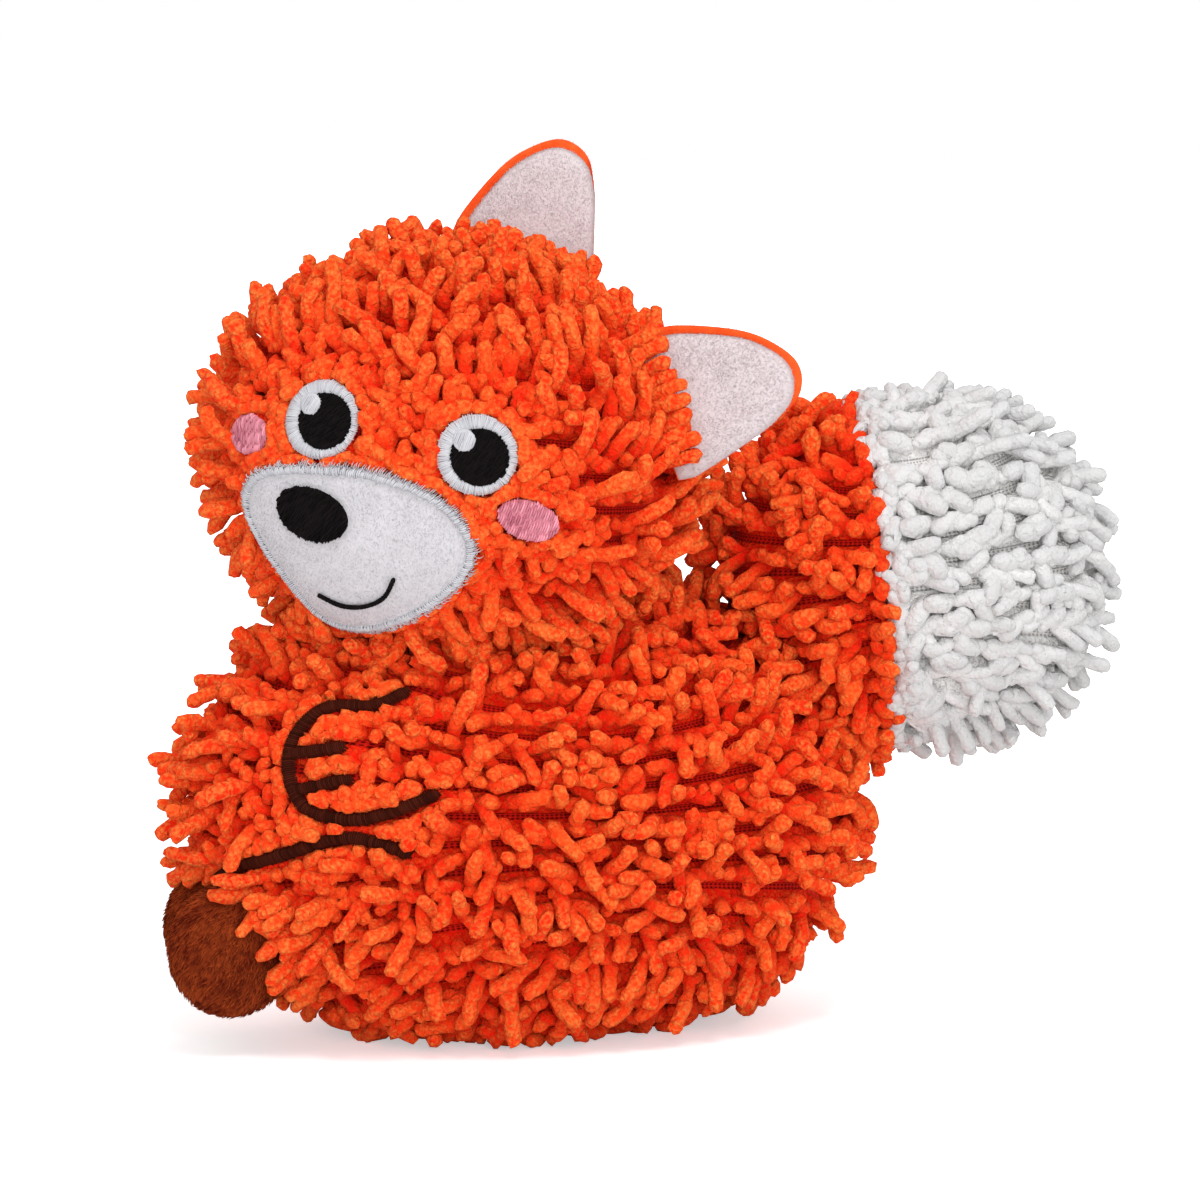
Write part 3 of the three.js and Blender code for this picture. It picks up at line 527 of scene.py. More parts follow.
# Each ground's colours: its loops, their painted highlight, its mesh, and the painted shade of the mesh's
# holes
orange_ground = fringed_knit("orange_finger_cloth_ground", "e61c08", "f24416", "c01a0c", "780505")
white_ground = fringed_knit("white_finger_cloth_ground", "eceae8", "f0efee", "e4e2e0", "b2aeaa")
white_velour = velour("white_polyester_velour", "c1bec2", "cecbcf", "e2e0e2")
ear_velour = velour("white_polyester_ear_velour", "c9bcbe", "d4cacc", "f0ecee")
orange_velour = velour("orange_polyester_velour", "ec4618", "f8682e", "ffa070")
brown_velour = velour("brown_polyester_velour", "5c1506", "a6451c", "b87448", 0.25)
white_thread = thread("white_polyester_thread", "b0b0b6", "cacace", 0.6, 0.15)
black_thread = thread("black_polyester_thread", "0a0808", "171213", 0.75, 0.05)
pink_thread = thread("pink_polyester_thread", "aa5a6c", "ea9cab", 0.6, 0.12)
brown_thread = thread("brown_polyester_thread", "2c0a03", "46180c", 0.75, 0.05)
# Lumps of loose fibre about 4.5 mm across, and waves of about 11 mm in the moulded wall
fibre_filling = plain("polyester_fibre_filling", "e6e3de", "f6f4f1", 1.0, 220.0, 0.001)
squeaker_plastic = plain("blow_moulded_polythene", "d2d6da", "dfe2e6", 0.35, 90.0, 0.00005)


# ---------------------------------------------------------------- meshes
def mesh_object(name, points, faces, material, uv=None, wrap=None, tint=None):
    """A mesh from points in millimetres. `wrap` is how far round a form its UV runs."""
    mesh = bpy.data.meshes.new(name)
    mesh.from_pydata((np.asarray(points) * MM).tolist(), [], faces)
    mesh.shade_smooth()
    mesh.materials.append(material)
    if uv is not None:
        layer = mesh.uv_layers.new(name="UVMap")
        corners = np.zeros(len(mesh.loops), int)
        mesh.loops.foreach_get("vertex_index", corners)
        laid = np.asarray(uv)[corners]
        # Faces across the place where the form closes stay in one turn of the cloth
        firsts = np.zeros(len(mesh.polygons), int)
        mesh.polygons.foreach_get("loop_start", firsts)
        counts = np.diff(np.append(firsts, len(corners)))
        off = laid[:, 0] - np.repeat(laid[firsts, 0], counts)
        laid[:, 0] -= wrap * np.round(off / wrap)
        layer.data.foreach_set("uv", laid.astype(np.float32).ravel())
    if tint is not None:
        mesh.attributes.new("tint", "FLOAT", "POINT").data.foreach_set("value", np.asarray(tint, np.float32))
    made = bpy.data.objects.new(name, mesh)
    bpy.context.scene.collection.objects.link(made)
    return made


def closed_skin(columns, rings):
    """Faces from a first point over rings of points to a last one."""
    faces, last = [], 1 + rings * columns
    for c in range(columns):
        n = (c + 1) % columns
        faces.append((0, 1 + n, 1 + c))
        faces.append((last, last - columns + c, last - columns + n))
        for r in range(rings - 1):
            a, b = 1 + r * columns, 1 + (r + 1) * columns
            faces.append((a + c, a + n, b + n, b + c))
    return faces


def ball_grid(columns, rows):
    """Directions of a closed ball and its faces, which point outwards."""
    left = np.arange(columns) * 360 / columns
    up = np.arange(1, rows) * 180 / rows - 90
    grid = heading(*np.meshgrid(left, up))
    directions = np.vstack([heading(0, -90)[None], grid.reshape(-1, 3), heading(0, 90)[None]])
    return directions, closed_skin(columns, rows - 1)


def outside(points, centre, others, clearance):
    """Draws points in towards a centre until they are clear of other forms' cloth."""
    for other in others:
        low, high = np.zeros(len(points)), np.ones(len(points))
        d, height = other.own(points)
        inside = height < other.cloth(d) + clearance
        for _ in range(24):
            share = (low + high) / 2
            d, height = other.own(centre + (points - centre) * share[:, None])
            clear = height > other.cloth(d) + clearance
            low, high = np.where(clear, share, low), np.where(clear, high, share)
        points = np.where(inside[:, None], centre + (points - centre) * low[:, None], points)
    return points


def strand_tree():
    """Yarn, thread or nap along lines: each line becomes a round strand, with lumps if it has them."""
    tree = bpy.data.node_groups.new("strands_along_lines", "GeometryNodeTree")
    face = tree.interface
    for name, kind in (("Lines", "Geometry"), ("Sides", "Int"), ("Thickness", "Float"),
                       ("Lump size", "Float"), ("Lump height", "Float"), ("Seed", "Float"),
                       ("Material", "Material")):
        face.new_socket(name, in_out="INPUT", socket_type="NodeSocket" + kind)
    face.new_socket("Strands", in_out="OUTPUT", socket_type="NodeSocketGeometry")
    given = add(tree, "NodeGroupInput").outputs
    curve = add(tree, "GeometryNodeMeshToCurve", {"Mesh": given["Lines"]})
    circle = add(tree, "GeometryNodeCurvePrimitiveCircle", {"Resolution": given["Sides"], "Radius": 1.0})
    thick = add(tree, "GeometryNodeInputNamedAttribute", {"Name": "thick"}, data_type="FLOAT")
    scaled = add(tree, "ShaderNodeMath", {0: thick, 1: given["Thickness"]}, operation="MULTIPLY")
    tube = add(tree, "GeometryNodeCurveToMesh", {
        "Curve": curve, "Profile Curve": circle,
        "Scale": scaled, "Fill Caps": True})
    place = add(tree, "GeometryNodeInputPosition")
    per = add(tree, "ShaderNodeMath", {0: 1.0, 1: given["Lump size"]}, operation="DIVIDE")
    noise = add(tree, "ShaderNodeTexNoise", {
        "Vector": place, "W": given["Seed"], "Scale": per, "Detail": 1.0}, noise_dimensions="4D")
    centred = add(tree, "ShaderNodeMath", {0: noise, 1: 0.5}, operation="SUBTRACT")
    height = add(tree, "ShaderNodeMath", {0: centred, 1: given["Lump height"]}, operation="MULTIPLY")
    normal = add(tree, "GeometryNodeInputNormal")
    offset = add(tree, "ShaderNodeVectorMath", {0: normal, "Scale": height}, operation="SCALE")
    lumpy = add(tree, "GeometryNodeSetPosition", {"Geometry": tube, "Offset": offset})
    soft = add(tree, "GeometryNodeSetShadeSmooth", {"Geometry": lumpy})
    real = add(tree, "GeometryNodeRealizeInstances", {"Geometry": soft})
    done = add(tree, "GeometryNodeSetMaterial", {"Geometry": real, "Material": given["Material"]})
    add(tree, "NodeGroupOutput", {"Strands": done})
    return tree


STRANDS = strand_tree()


def strands(name, lines, thick, tint, material, sides, lump_size=1.6, lump_height=0.0, seed=1.0, rise=0.0):
    """Lines (count, points, 3) with a thickness for each point become one plain mesh of strands."""
    count, steps, _ = lines.shape
    mesh = bpy.data.meshes.new(name)
    starts = np.arange(count)[:, None] * steps + np.arange(steps - 1)
    edges = np.stack([starts, starts + 1], -1).reshape(-1, 2).tolist()
    mesh.from_pydata((lines.reshape(-1, 3) * MM).tolist(), edges, [])
    reach = np.cumsum(np.linalg.norm(np.diff(lines, axis=1), axis=2), axis=1)
    attributes = {
        "thick": np.broadcast_to(thick, (count, steps)) * MM,
        "tint": np.broadcast_to(np.asarray(tint, float)[:, None], (count, steps)),
        "reach": np.pad(reach, ((0, 0), (1, 0))),
        "rise": np.broadcast_to(rise, (count, steps)),
    }
    for key, values in attributes.items():
        layer = mesh.attributes.new(key, "FLOAT", "POINT")
        layer.data.foreach_set("value", values.astype(np.float32).ravel())
    made = bpy.data.objects.new(name, mesh)
    bpy.context.scene.collection.objects.link(made)
    modifier = made.modifiers.new("strands", "NODES")
    modifier.node_group = STRANDS
    values = {"Sides": sides, "Thickness": 1.0, "Lump size": lump_size * MM, "Lump height": lump_height * MM,
              "Seed": seed, "Material": material}
    for item in STRANDS.interface.items_tree:
        if item.in_out == "INPUT" and item.name in values:
            modifier[item.identifier] = values[item.name]
    solid = bpy.data.meshes.new_from_object(made.evaluated_get(bpy.context.evaluated_depsgraph_get()))
    made.modifiers.remove(modifier)
    made.data = solid
    bpy.data.meshes.remove(mesh)
    solid.name = name
    return made


def joined(name, parts):
    """One object of several, under one name."""
    with bpy.context.temp_override(active_object=parts[0], selected_editable_objects=parts):
        bpy.ops.object.join()
    parts[0].name = parts[0].data.name = name
    return parts[0]


def place(piece, nodes=(), slot=None, on="root", fill=None):
    """Puts a piece on its body, and hides the parts of the model that it stands for."""
    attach(piece, on)
    if nodes:
        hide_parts(*nodes)


# ---------------------------------------------------------------- camera, light and floor
# The camera stands 70 degrees round towards the fox's left side, 6 degrees up.
AZIMUTH, ELEVATION = math.radians(70), math.radians(6)
towards_camera = np.array([
    math.cos(ELEVATION) * math.sin(AZIMUTH), -math.cos(ELEVATION) * math.cos(AZIMUTH), math.sin(ELEVATION)])
picture_right = np.array([math.cos(AZIMUTH), math.sin(AZIMUTH), 0.0])
picture_up = np.cross(towards_camera, picture_right)
target = picture_right * 11 + picture_up * 79
# The camera and the lamps stand off by this, the lamps times their own shares
DISTANCE = 1000.0

camera = bpy.data.objects.new("camera", bpy.data.cameras.new("camera"))
bpy.context.scene.collection.objects.link(camera)
camera.data.sensor_width, camera.data.lens = 36.0, 161.28
camera.data.clip_start = 0.05
camera.matrix_world = Matrix([
    [*(float(v[i]) for v in (picture_right, picture_up, towards_camera)),
     float((target[i] + towards_camera[i] * DISTANCE) * MM)] for i in range(3)] + [[0, 0, 0, 1]])
bpy.context.scene.camera = camera
bpy.context.scene.view_settings.view_transform = "Standard"


def lamp(name, right, up, front, size, watts, tone):
    """A soft area lamp, placed from the camera's side and aimed at the toy."""
    light = bpy.data.lights.new(name, "AREA")
    light.shape, light.size, light.energy, light.color = "DISK", size, watts, colour(tone)[:3]
    made = bpy.data.objects.new(name, light)
    bpy.context.scene.collection.objects.link(made)
    away = picture_right * right + picture_up * up + towards_camera * front
    made.location = ((target + away * DISTANCE) * MM).tolist()
    made.rotation_mode = "QUATERNION"
    made.rotation_quaternion = Vector(away.tolist()).to_track_quat("Z", "Y")


lamp("key", 0.15, 1.0, 0.7, 0.4, 5.0, "ffffff")
lamp("front", 0.15, 0.1, 1.2, 0.5, 4.6, "ffffff")

world = bpy.data.worlds.new("studio")
bpy.context.scene.world = world
world.use_nodes = True
back = world.node_tree.nodes["Background"]
# White to the camera, a little less bright where it lights the toy
rays = add(world.node_tree, "ShaderNodeLightPath").outputs
seen = add(world.node_tree, "ShaderNodeMath", {0: rays["Is Camera Ray"], 1: rays["Is Glossy Ray"]},
           operation="MAXIMUM")
level = add(world.node_tree, "ShaderNodeMapRange", {"Value": seen, "To Min": 0.84, "To Max": 1.0})
world.node_tree.links.new(level.outputs["Result"], back.inputs["Strength"])
back.inputs["Color"].default_value = (1, 1, 1, 1)

floor_material, floor_tree, floor_shader = finish_of(
    "white_paper_sweep", Roughness=0.9, Base_Color=colour("f4f4f4"))
# The sweep is plain white to the camera further off, and keeps the toy's shadow near it
floor_place = add(floor_tree, "ShaderNodeTexCoord").outputs["Object"]
reach = add(floor_tree, "ShaderNodeVectorMath", {0: floor_place}, operation="LENGTH")
paler = add(floor_tree, "ShaderNodeMapRange", {
    "Value": reach, "From Min": 0.12, "From Max": 0.5, "To Min": 0.45, "To Max": 1.0})
to_camera = add(floor_tree, "ShaderNodeLightPath").outputs["Is Camera Ray"]
glow = add(floor_tree, "ShaderNodeMath", {0: to_camera, 1: paler}, operation="MULTIPLY")
floor_shader.inputs["Emission Color"].default_value = (1, 1, 1, 1)
floor_tree.links.new(glow.outputs[0], floor_shader.inputs["Emission Strength"])
# How far the sweep runs to each side
FLOOR_REACH = 6000
corners = [(x * FLOOR_REACH, y * FLOOR_REACH, 0) for x, y in ((-1, -1), (1, -1), (1, 1), (-1, 1))]
floor = mesh_object("floor", corners, [(0, 1, 2, 3)], floor_material)


# ---------------------------------------------------------------- covers: the knitted ground
def meridian(form):
    """Headings up a form, in degrees, and how much cloth lies below each, in millimetres."""
    up = np.linspace(-90, 90, 361)
    lines = form.point(heading(np.arange(0, 360, 30.0)[:, None], up[None, :]))
    steps = np.linalg.norm(np.diff(lines, axis=1), axis=2).mean(0)
    return up, np.concatenate([[0], np.cumsum(steps)])


def row_uv(form, directions):
    """Millimetres round a form and up it, for each direction."""
    left, up = angles(directions)
    return np.stack([left * math.pi / 180 * form.axes[0], np.interp(up, *meridian(form))], -1)


def loops_height(uv):
    """Rows of chenille loops stand 2 mm above the mesh between them."""
    return np.cos(2 * np.pi * (uv[:, 1] / ROW_PITCH - 0.5)) - 0.6


def ground(name, node, form, columns, rows, others=(), white=None):
    """A cover's bag. The tail's two bags have their own side of its seam, closed by a flat face there."""
    directions, faces = ball_grid(columns, rows)
    uv = row_uv(form, directions)
    points = outside(form.on_cloth(directions, loops_height(uv)), form.centre, others, GAP)
    points[:, 2] = np.maximum(points[:, 2], FLOOR_CLEAR)
    if white is not None:
        own = (points - form.centre) @ form.turn
        keep, seam = (np.maximum, GAP / 2 - TAIL_SEAM) if white else (np.minimum, -GAP / 2 - TAIL_SEAM)
        own[:, 1] = keep(own[:, 1], seam)
        points = form.centre + own @ form.turn.T
    cloth = white_ground if white else orange_ground
    made = mesh_object(name, points, faces, cloth, uv=uv, wrap=2 * math.pi * form.axes[0])
    place(made, [node], "white_chenille" if white else "orange_chenille", fill=0.85)


ground("body_cover_cloth", "body_cover", body, 144, 112)
ground("head_cover_cloth", "head_cover", head, 144, 96, [body])
ground("tail_cover_cloth", "tail_cover", tail, 112, 84, [body], white=False)
ground("tail_tip_cloth", "tail_tip_cover", tail, 112, 84, [body], white=True)


# ---------------------------------------------------------------- covers: the chenille fingers
# Points in a finger's spine, how deep its root lies in the cloth, and how near its neighbours count
SPINE, ROOT_DEPTH, NEIGHBOURS = 6, 0.7, 3.4
# Half the thickness of a finger, how far apart short tufts stand, and how clear of other forms they start
FINGER_THICK, TUFT_PITCH, ROOT_CLEAR = (1.3, 1.5), 2.9, 1.0
# Fingers along each side of an ear's seam, how clear of it they stand, and how much more further up
EAR_FRINGE, EAR_CLEAR, EAR_SPLAY = 9, 1.4, 0.55
# How clear of a stitched line the middle of a finger lies, and more by a share of its own thickness
LINE_CLEAR, LINE_SHARE = 1.5, 0.4
# The forms that carry pile, and the stitched lines where the body's pile meets them
PILE_FORMS = body, head, tail
drawn_lift = body.point(drawn, 0.5)
rng = np.random.default_rng(7)


def finger_roots(form, row_pitch, finger_pitch, scatter=0.16, wander=0.45):
    """Directions of fingers in rows round a form, evenly spaced along each row."""
    up, along = meridian(form)
    found = []
    for at in np.arange(row_pitch / 2, along[-1], row_pitch):
        left = np.linspace(0, 360, 181)
        ring = form.point(heading(left, np.interp(at, along, up)))
        length = distance_along(ring)
        count = max(3, round(length[-1] / finger_pitch))
        steps = (np.arange(count) + rng.uniform(0, 1) + rng.uniform(-scatter, scatter, count)) % count
        rise = np.interp(at + rng.uniform(-wander, wander, count), along, up)
        found.append(heading(np.interp(steps / count * length[-1], length, left), np.clip(rise, -89, 89)))
    return np.vstack(found)


def swirl(p, scale, seed):
    """A smooth random value from -1 to 1 for each point, for neighbours that lean alike."""
    waves = np.random.default_rng(seed)
    total = np.zeros(len(p))
    for _ in range(6):
        k = unit(waves.normal(size=3)) * 2 * np.pi / scale * waves.uniform(0.7, 1.4)
        total += np.sin(p @ k + waves.uniform(0, 2 * np.pi))
    return total / 6 * 1.6


class Pile:
    """Fingers of one cover: where they start, and which way and how far they lie."""

    def __init__(self, name, form, d, comb, spread, start, rest, length, thick, over, loose=True):
        n = len(d)
        self.name, self.form = name, form
        base = form.on_cloth(d, -ROOT_DEPTH)
        normal = form.normal(base)
        comb = comb + 1e-6
        lean = unit(comb - (comb * normal).sum(-1, keepdims=True) * normal)
        side = np.cross(normal, lean)
        turn = np.radians(spread) * (0.55 * swirl(base, 22, 3) + 0.6 * rng.normal(size=n))
        lean = lean * np.cos(turn)[:, None] + side * np.sin(turn)[:, None]
        steps = np.linspace(0, 1, SPINE)
        rise = np.radians(start[:, None] + (rest - start)[:, None] * smooth(steps * 1.25)[None])
        side = np.cross(normal, lean)
        sway = np.cumsum(rng.normal(scale=0.12, size=(n, SPINE)), axis=1)
        lying = lean[:, None] * np.cos(sway)[..., None] + side[:, None] * np.sin(sway)[..., None]
        aim = np.cos(rise)[..., None] * lying + np.sin(rise)[..., None] * normal[:, None]
        step = aim[:, :-1] * (length / (SPINE - 1))[:, None, None]
        self.lines = base[:, None] + np.concatenate([np.zeros((n, 1, 3)), np.cumsum(step, axis=1)], axis=1)
        self.thick, self.over, self.loose = thick, np.broadcast_to(over, n), loose
        self.tint = np.clip(0.6 * rng.normal(size=n), -1, 1)


def neighbours(free, owner, loose):
    """Pairs of points of different fingers that lie near each other."""
    tree = kdtree.KDTree(len(free))
    for i in np.flatnonzero(loose):
        tree.insert(free[i], i)
    tree.balance()
    return np.array([(i, j) for i in np.flatnonzero(loose) for _, j, _ in tree.find_range(free[i], NEIGHBOURS)
                     if j > i and owner[i] != owner[j]])


def apart(free, pairs, radius):
    """Neighbouring fingers push each other aside."""
    a, b = pairs[:, 0], pairs[:, 1]
    gap = free[a] - free[b]
    far = np.maximum(np.linalg.norm(gap, axis=1), 1e-3)
    need = 0.9 * (radius[a] + radius[b])
    close = far < need
    a, b = a[close], b[close]
    push = gap[close] * ((need - far) / far)[close][:, None] * 0.5
    move = np.stack([np.bincount(a, push[:, i], len(free)) - np.bincount(b, push[:, i], len(free))
                     for i in range(3)], -1)
    hits = np.bincount(a, minlength=len(free)) + np.bincount(b, minlength=len(free))
    return free + move / np.maximum(1, 0.6 * hits)[:, None]


def down_on_cloth(free, own_form, rest, limit):
    """Points lie on the cloth of every form, and not too high over their own."""
    for index, form in enumerate(PILE_FORMS):
        d, height = form.own(free)
        short = np.maximum(form.cloth(d) + rest - height, 0)
        tall = np.where(own_form == index, np.maximum(height - limit, 0), 0)
        free = free + ((short - 0.5 * tall)[:, None] * d) @ form.turn.T
    return free


def off_seam(free, radius, stray, tail_side):
    """Fingers stay on their side of the tail's seam, each but for its own stray."""
    across = (free - tail.centre) @ tail.turn[:, 1] + TAIL_SEAM
    past = np.where(tail_side, np.maximum(0.5 * radius - stray - across * tail_side, 0) * tail_side, 0)
    return free + past[:, None] * tail.turn[:, 1]


def off_feet(free, radius):
    """Points stay outside the feet."""
    for foot in feet.values():
        d, height = foot.own(free)
        free = free + (np.maximum(radius * 0.8 - height, 0)[:, None] * d) @ foot.turn.T
    return free


def off_face(points, room):
    """Points draw aside to the rims of the patches on the face."""
    for patch in face_patches:
        q = (points - head.centre) @ head.turn
        reach = np.linalg.norm(q, axis=1)
        bearing, away = patch.polar(q / reach[:, None])
        want = patch.edge(bearing) + room
        q = np.where((away < want)[:, None], patch.ring(bearing, want) * reach[:, None], q)
        points = head.centre + q @ head.turn.T
    return points


def off_lines(points, radius):
    """Points draw aside from the lines stitched on the body."""
    far, which = nearest(points, drawn_lift)
    want = LINE_CLEAR + LINE_SHARE * radius
    inside = far < want
    near = which[inside]
    normal = unit(drawn[near] @ body.turn.T)
    side = points[inside] - drawn_lift[near]
    side = side - (side * normal).sum(1, keepdims=True) * normal
    points[inside] = points[inside] + unit(side) * (want - far)[inside][:, None]
    return points


def off_ears(free, radius):
    """Points stay on their side of each ear, further from it the higher they are."""
    for origin, axes in ear_frames.values():
        q = (free - origin) @ axes.T
        clear = EAR_CLEAR + radius + EAR_SPLAY * np.maximum(q[:, 2], 0)
        beside = (np.abs(q[:, 0]) < EAR_WIDTH / 2 + 1) & (np.abs(q[:, 1]) < clear)
        inside = beside & (q[:, 2] > -6) & (q[:, 2] < 18)
        q[inside, 1] = np.where(q[inside, 1] < 0, -clear[inside], clear[inside])
        free[inside] = origin + q[inside] @ axes
    return free


def sprung(lines, bend, step):
    """Spines spring back towards their own bend and keep their length."""
    middle = (lines[:, :-2] + lines[:, 2:]) / 2 + bend
    lines[:, 1:-1] += 0.2 * (middle - lines[:, 1:-1])
    ahead = 2 * lines[:, -2] - lines[:, -3]
    lines[:, -1] += 0.08 * (ahead - lines[:, -1])
    for k in range(1, SPINE):
        run = lines[:, k] - lines[:, k - 1]
        run = run * (step[:, k - 1] / np.maximum(np.linalg.norm(run, axis=1), 1e-6))[:, None]
        lines[:, k] = lines[:, k - 1] + run


def settled(piles, rounds):
    """Lets the fingers push each other aside, lie on the cloth and keep off all that isn't pile."""
    lines = np.vstack([p.lines for p in piles])
    count = len(lines)
    step = np.linalg.norm(np.diff(lines, axis=1), axis=2)
    bend = lines[:, 1:-1] - (lines[:, :-2] + lines[:, 2:]) / 2
    owner = np.repeat(np.arange(count), SPINE - 1)

    def each(values):
        """A value of each pile, for each of its points."""
        return np.repeat(values, [len(p.lines) * (SPINE - 1) for p in piles])

    radius = np.concatenate([p.thick for p in piles])[owner]
    limit = np.concatenate([p.over for p in piles])[owner]
    loose = each([p.loose for p in piles])
    own_form = each([PILE_FORMS.index(p.form) for p in piles])
    tail_side = each([0 if p.form is not tail else 1 if p.name.startswith("tail_tip") else -1 for p in piles])
    on_body, on_head = own_form == PILE_FORMS.index(body), np.flatnonzero(own_form == PILE_FORMS.index(head))
    first = np.tile(np.arange(SPINE - 1) == 0, count)
    rest = radius * np.where(first, 0.3, np.where(tail_side > 0, 0.4, 0.85))
    stray = np.random.default_rng(9).uniform(0, 2.2, count)[owner]
    beside_patch = np.where(loose, 0.55, 0.75) * radius
    for turn in range(rounds):
        free = lines[:, 1:].reshape(-1, 3)
        if turn % 6 == 0:
            pairs = neighbours(free, owner, loose)
        free = apart(free, pairs, radius)
        free = down_on_cloth(free, own_form, rest, limit)
        free = off_seam(free, radius, stray, tail_side)
        free = off_feet(free, radius)
        free[on_head] = off_face(free[on_head], beside_patch[on_head])
        by_lines = np.flatnonzero(on_body & (np.abs(free[:, 0]) < 48) & (free[:, 1] < -5))
        free[by_lines] = off_lines(free[by_lines], radius[by_lines])
        free = off_ears(free, radius)
        free[:, 2] = np.maximum(free[:, 2], radius * 0.95)
        lines[:, 1:] = free.reshape(count, SPINE - 1, 3)
        sprung(lines, bend, step)
    start = 0
    for p in piles:
        p.lines = lines[start : start + len(p.lines)]
        start += len(p.lines)


def fine_lines(lines, shares):
    """Smooth lines through the spine points, at the given shares of their length."""
    n, k, _ = lines.shape
    before, after = 2 * lines[:, :1] - lines[:, 1:2], 2 * lines[:, -1:] - lines[:, -2:-1]
    padded = np.concatenate([before, lines, after], axis=1)
    out = []
    for share in shares:
        x = min(share * (k - 1), k - 1 - 1e-6)
        i, t = int(x), x - int(x)
        a, b, c, d = (padded[:, i + j] for j in range(4))
        out.append(curve_between(a, b, c, d, t))
    return np.stack(out, axis=1)


def away_from(form, towards, d):
    """World vectors along a form, away from one of its places."""
    return -(towards[None] - d * (d @ towards)[:, None]) @ form.turn.T


def inside_others(p, forms, clearance):
    """Which points lie under other forms' cloth."""
    hidden = np.zeros(len(p), bool)
    for form in forms:
        d, height = form.own(p)
        hidden |= height < form.cloth(d) + clearance
    return hidden


def near_ears(p):
    """How far points lie from the ears' seams, across the seam."""
    far = np.full(len(p), 99.0)
    for origin, axes in ear_frames.values():
        q = (p - origin) @ axes.T
        beside = (np.abs(q[:, 0]) < EAR_WIDTH / 2 + 1) & (np.abs(q[:, 2]) < 12)
        far = np.where(beside, np.minimum(far, np.abs(q[:, 1])), far)
    return far


def puffs(name, form, d, comb=None, over=0.6, lengths=(3.6, 5.6), rests=(8, 50), thick=(1.15, 1.45)):
    """Short tufts along the rows that the fingers stand in, and packed ones beside what is sewn on."""
    n = len(d)
    comb = unit(rng.normal(size=(n, 3))) if comb is None else comb
    rest = rng.uniform(*rests, n)
    return Pile(name, form, d, comb, 35.0, rest + 25, rest, rng.uniform(*lengths, n), rng.uniform(*thick, n),
                over + rng.uniform(-0.4, 0.4, n), loose=False)


def along_rows(form, d):
    """World vectors along the rows, one way or the other."""
    level = np.stack([-d[:, 1], d[:, 0], np.zeros(len(d))], -1)
    return unit(level) @ form.turn.T * rng.choice([-1, 1], len(d))[:, None]


def beside(form, edge, out, pitch):
    """Directions a little to the given side of a line on a form, and the way that the line runs there."""
    along = distance_along(form.point(edge))
    want = np.arange(pitch / 2, along[-1], pitch)
    at = unit(read_off(want, along, edge))
    onward = unit(read_off(want + 0.2, along, edge))
    way = unit(onward - at + 1e-9)
    across = np.cross(at, way)
    return unit(at + across * (out / form.radius(at))[:, None]), way @ form.turn.T


def ear_fringe():
    """Fingers along both sides of each ear's seam, standing up against the ear."""
    roots, comb = [], []
    for origin, axes in ear_frames.values():
        for side in (-1, 1):
            jitter = rng.uniform(-0.25, 0.25, EAR_FRINGE)
            along = (np.arange(EAR_FRINGE) + jitter - EAR_FRINGE // 2) * EAR_WIDTH / EAR_FRINGE
            across = side * rng.uniform(3.0, 4.2, EAR_FRINGE)
            roots.append(head.own(origin + along[:, None] * axes[0] + across[:, None] * axes[1])[0])
            comb.append(np.tile(axes[2] + side * 0.5 * axes[1], (EAR_FRINGE, 1)))
    d = np.vstack(roots)
    n = len(d)
    return Pile("ear_fringe_chenille", head, d, np.vstack(comb), 14.0, rng.uniform(75, 90, n),
                rng.uniform(60, 82, n), rng.uniform(9.5, 12.5, n), rng.uniform(*FINGER_THICK, n), 11.0)


def foot_fringe(d):
    """Long fingers that hang over the feet, from the cloth just above them."""
    at = body.on_cloth(d)
    off = np.where(at[:, 0] > 0, feet["left"].own(at)[1], feet["right"].own(at)[1])
    d = d[(off < 7) & (np.abs(at[:, 0]) > 13) & (at[:, 2] > 9)]
    n = len(d)
    return Pile("foot_fringe_chenille", body, d, np.tile([0, -1.0, -0.35], (n, 1)), 38.0,
                rng.uniform(60, 80, n), rng.uniform(30, 62, n), rng.uniform(9, 13.5, n),
                rng.uniform(*FINGER_THICK, n), 15.0)


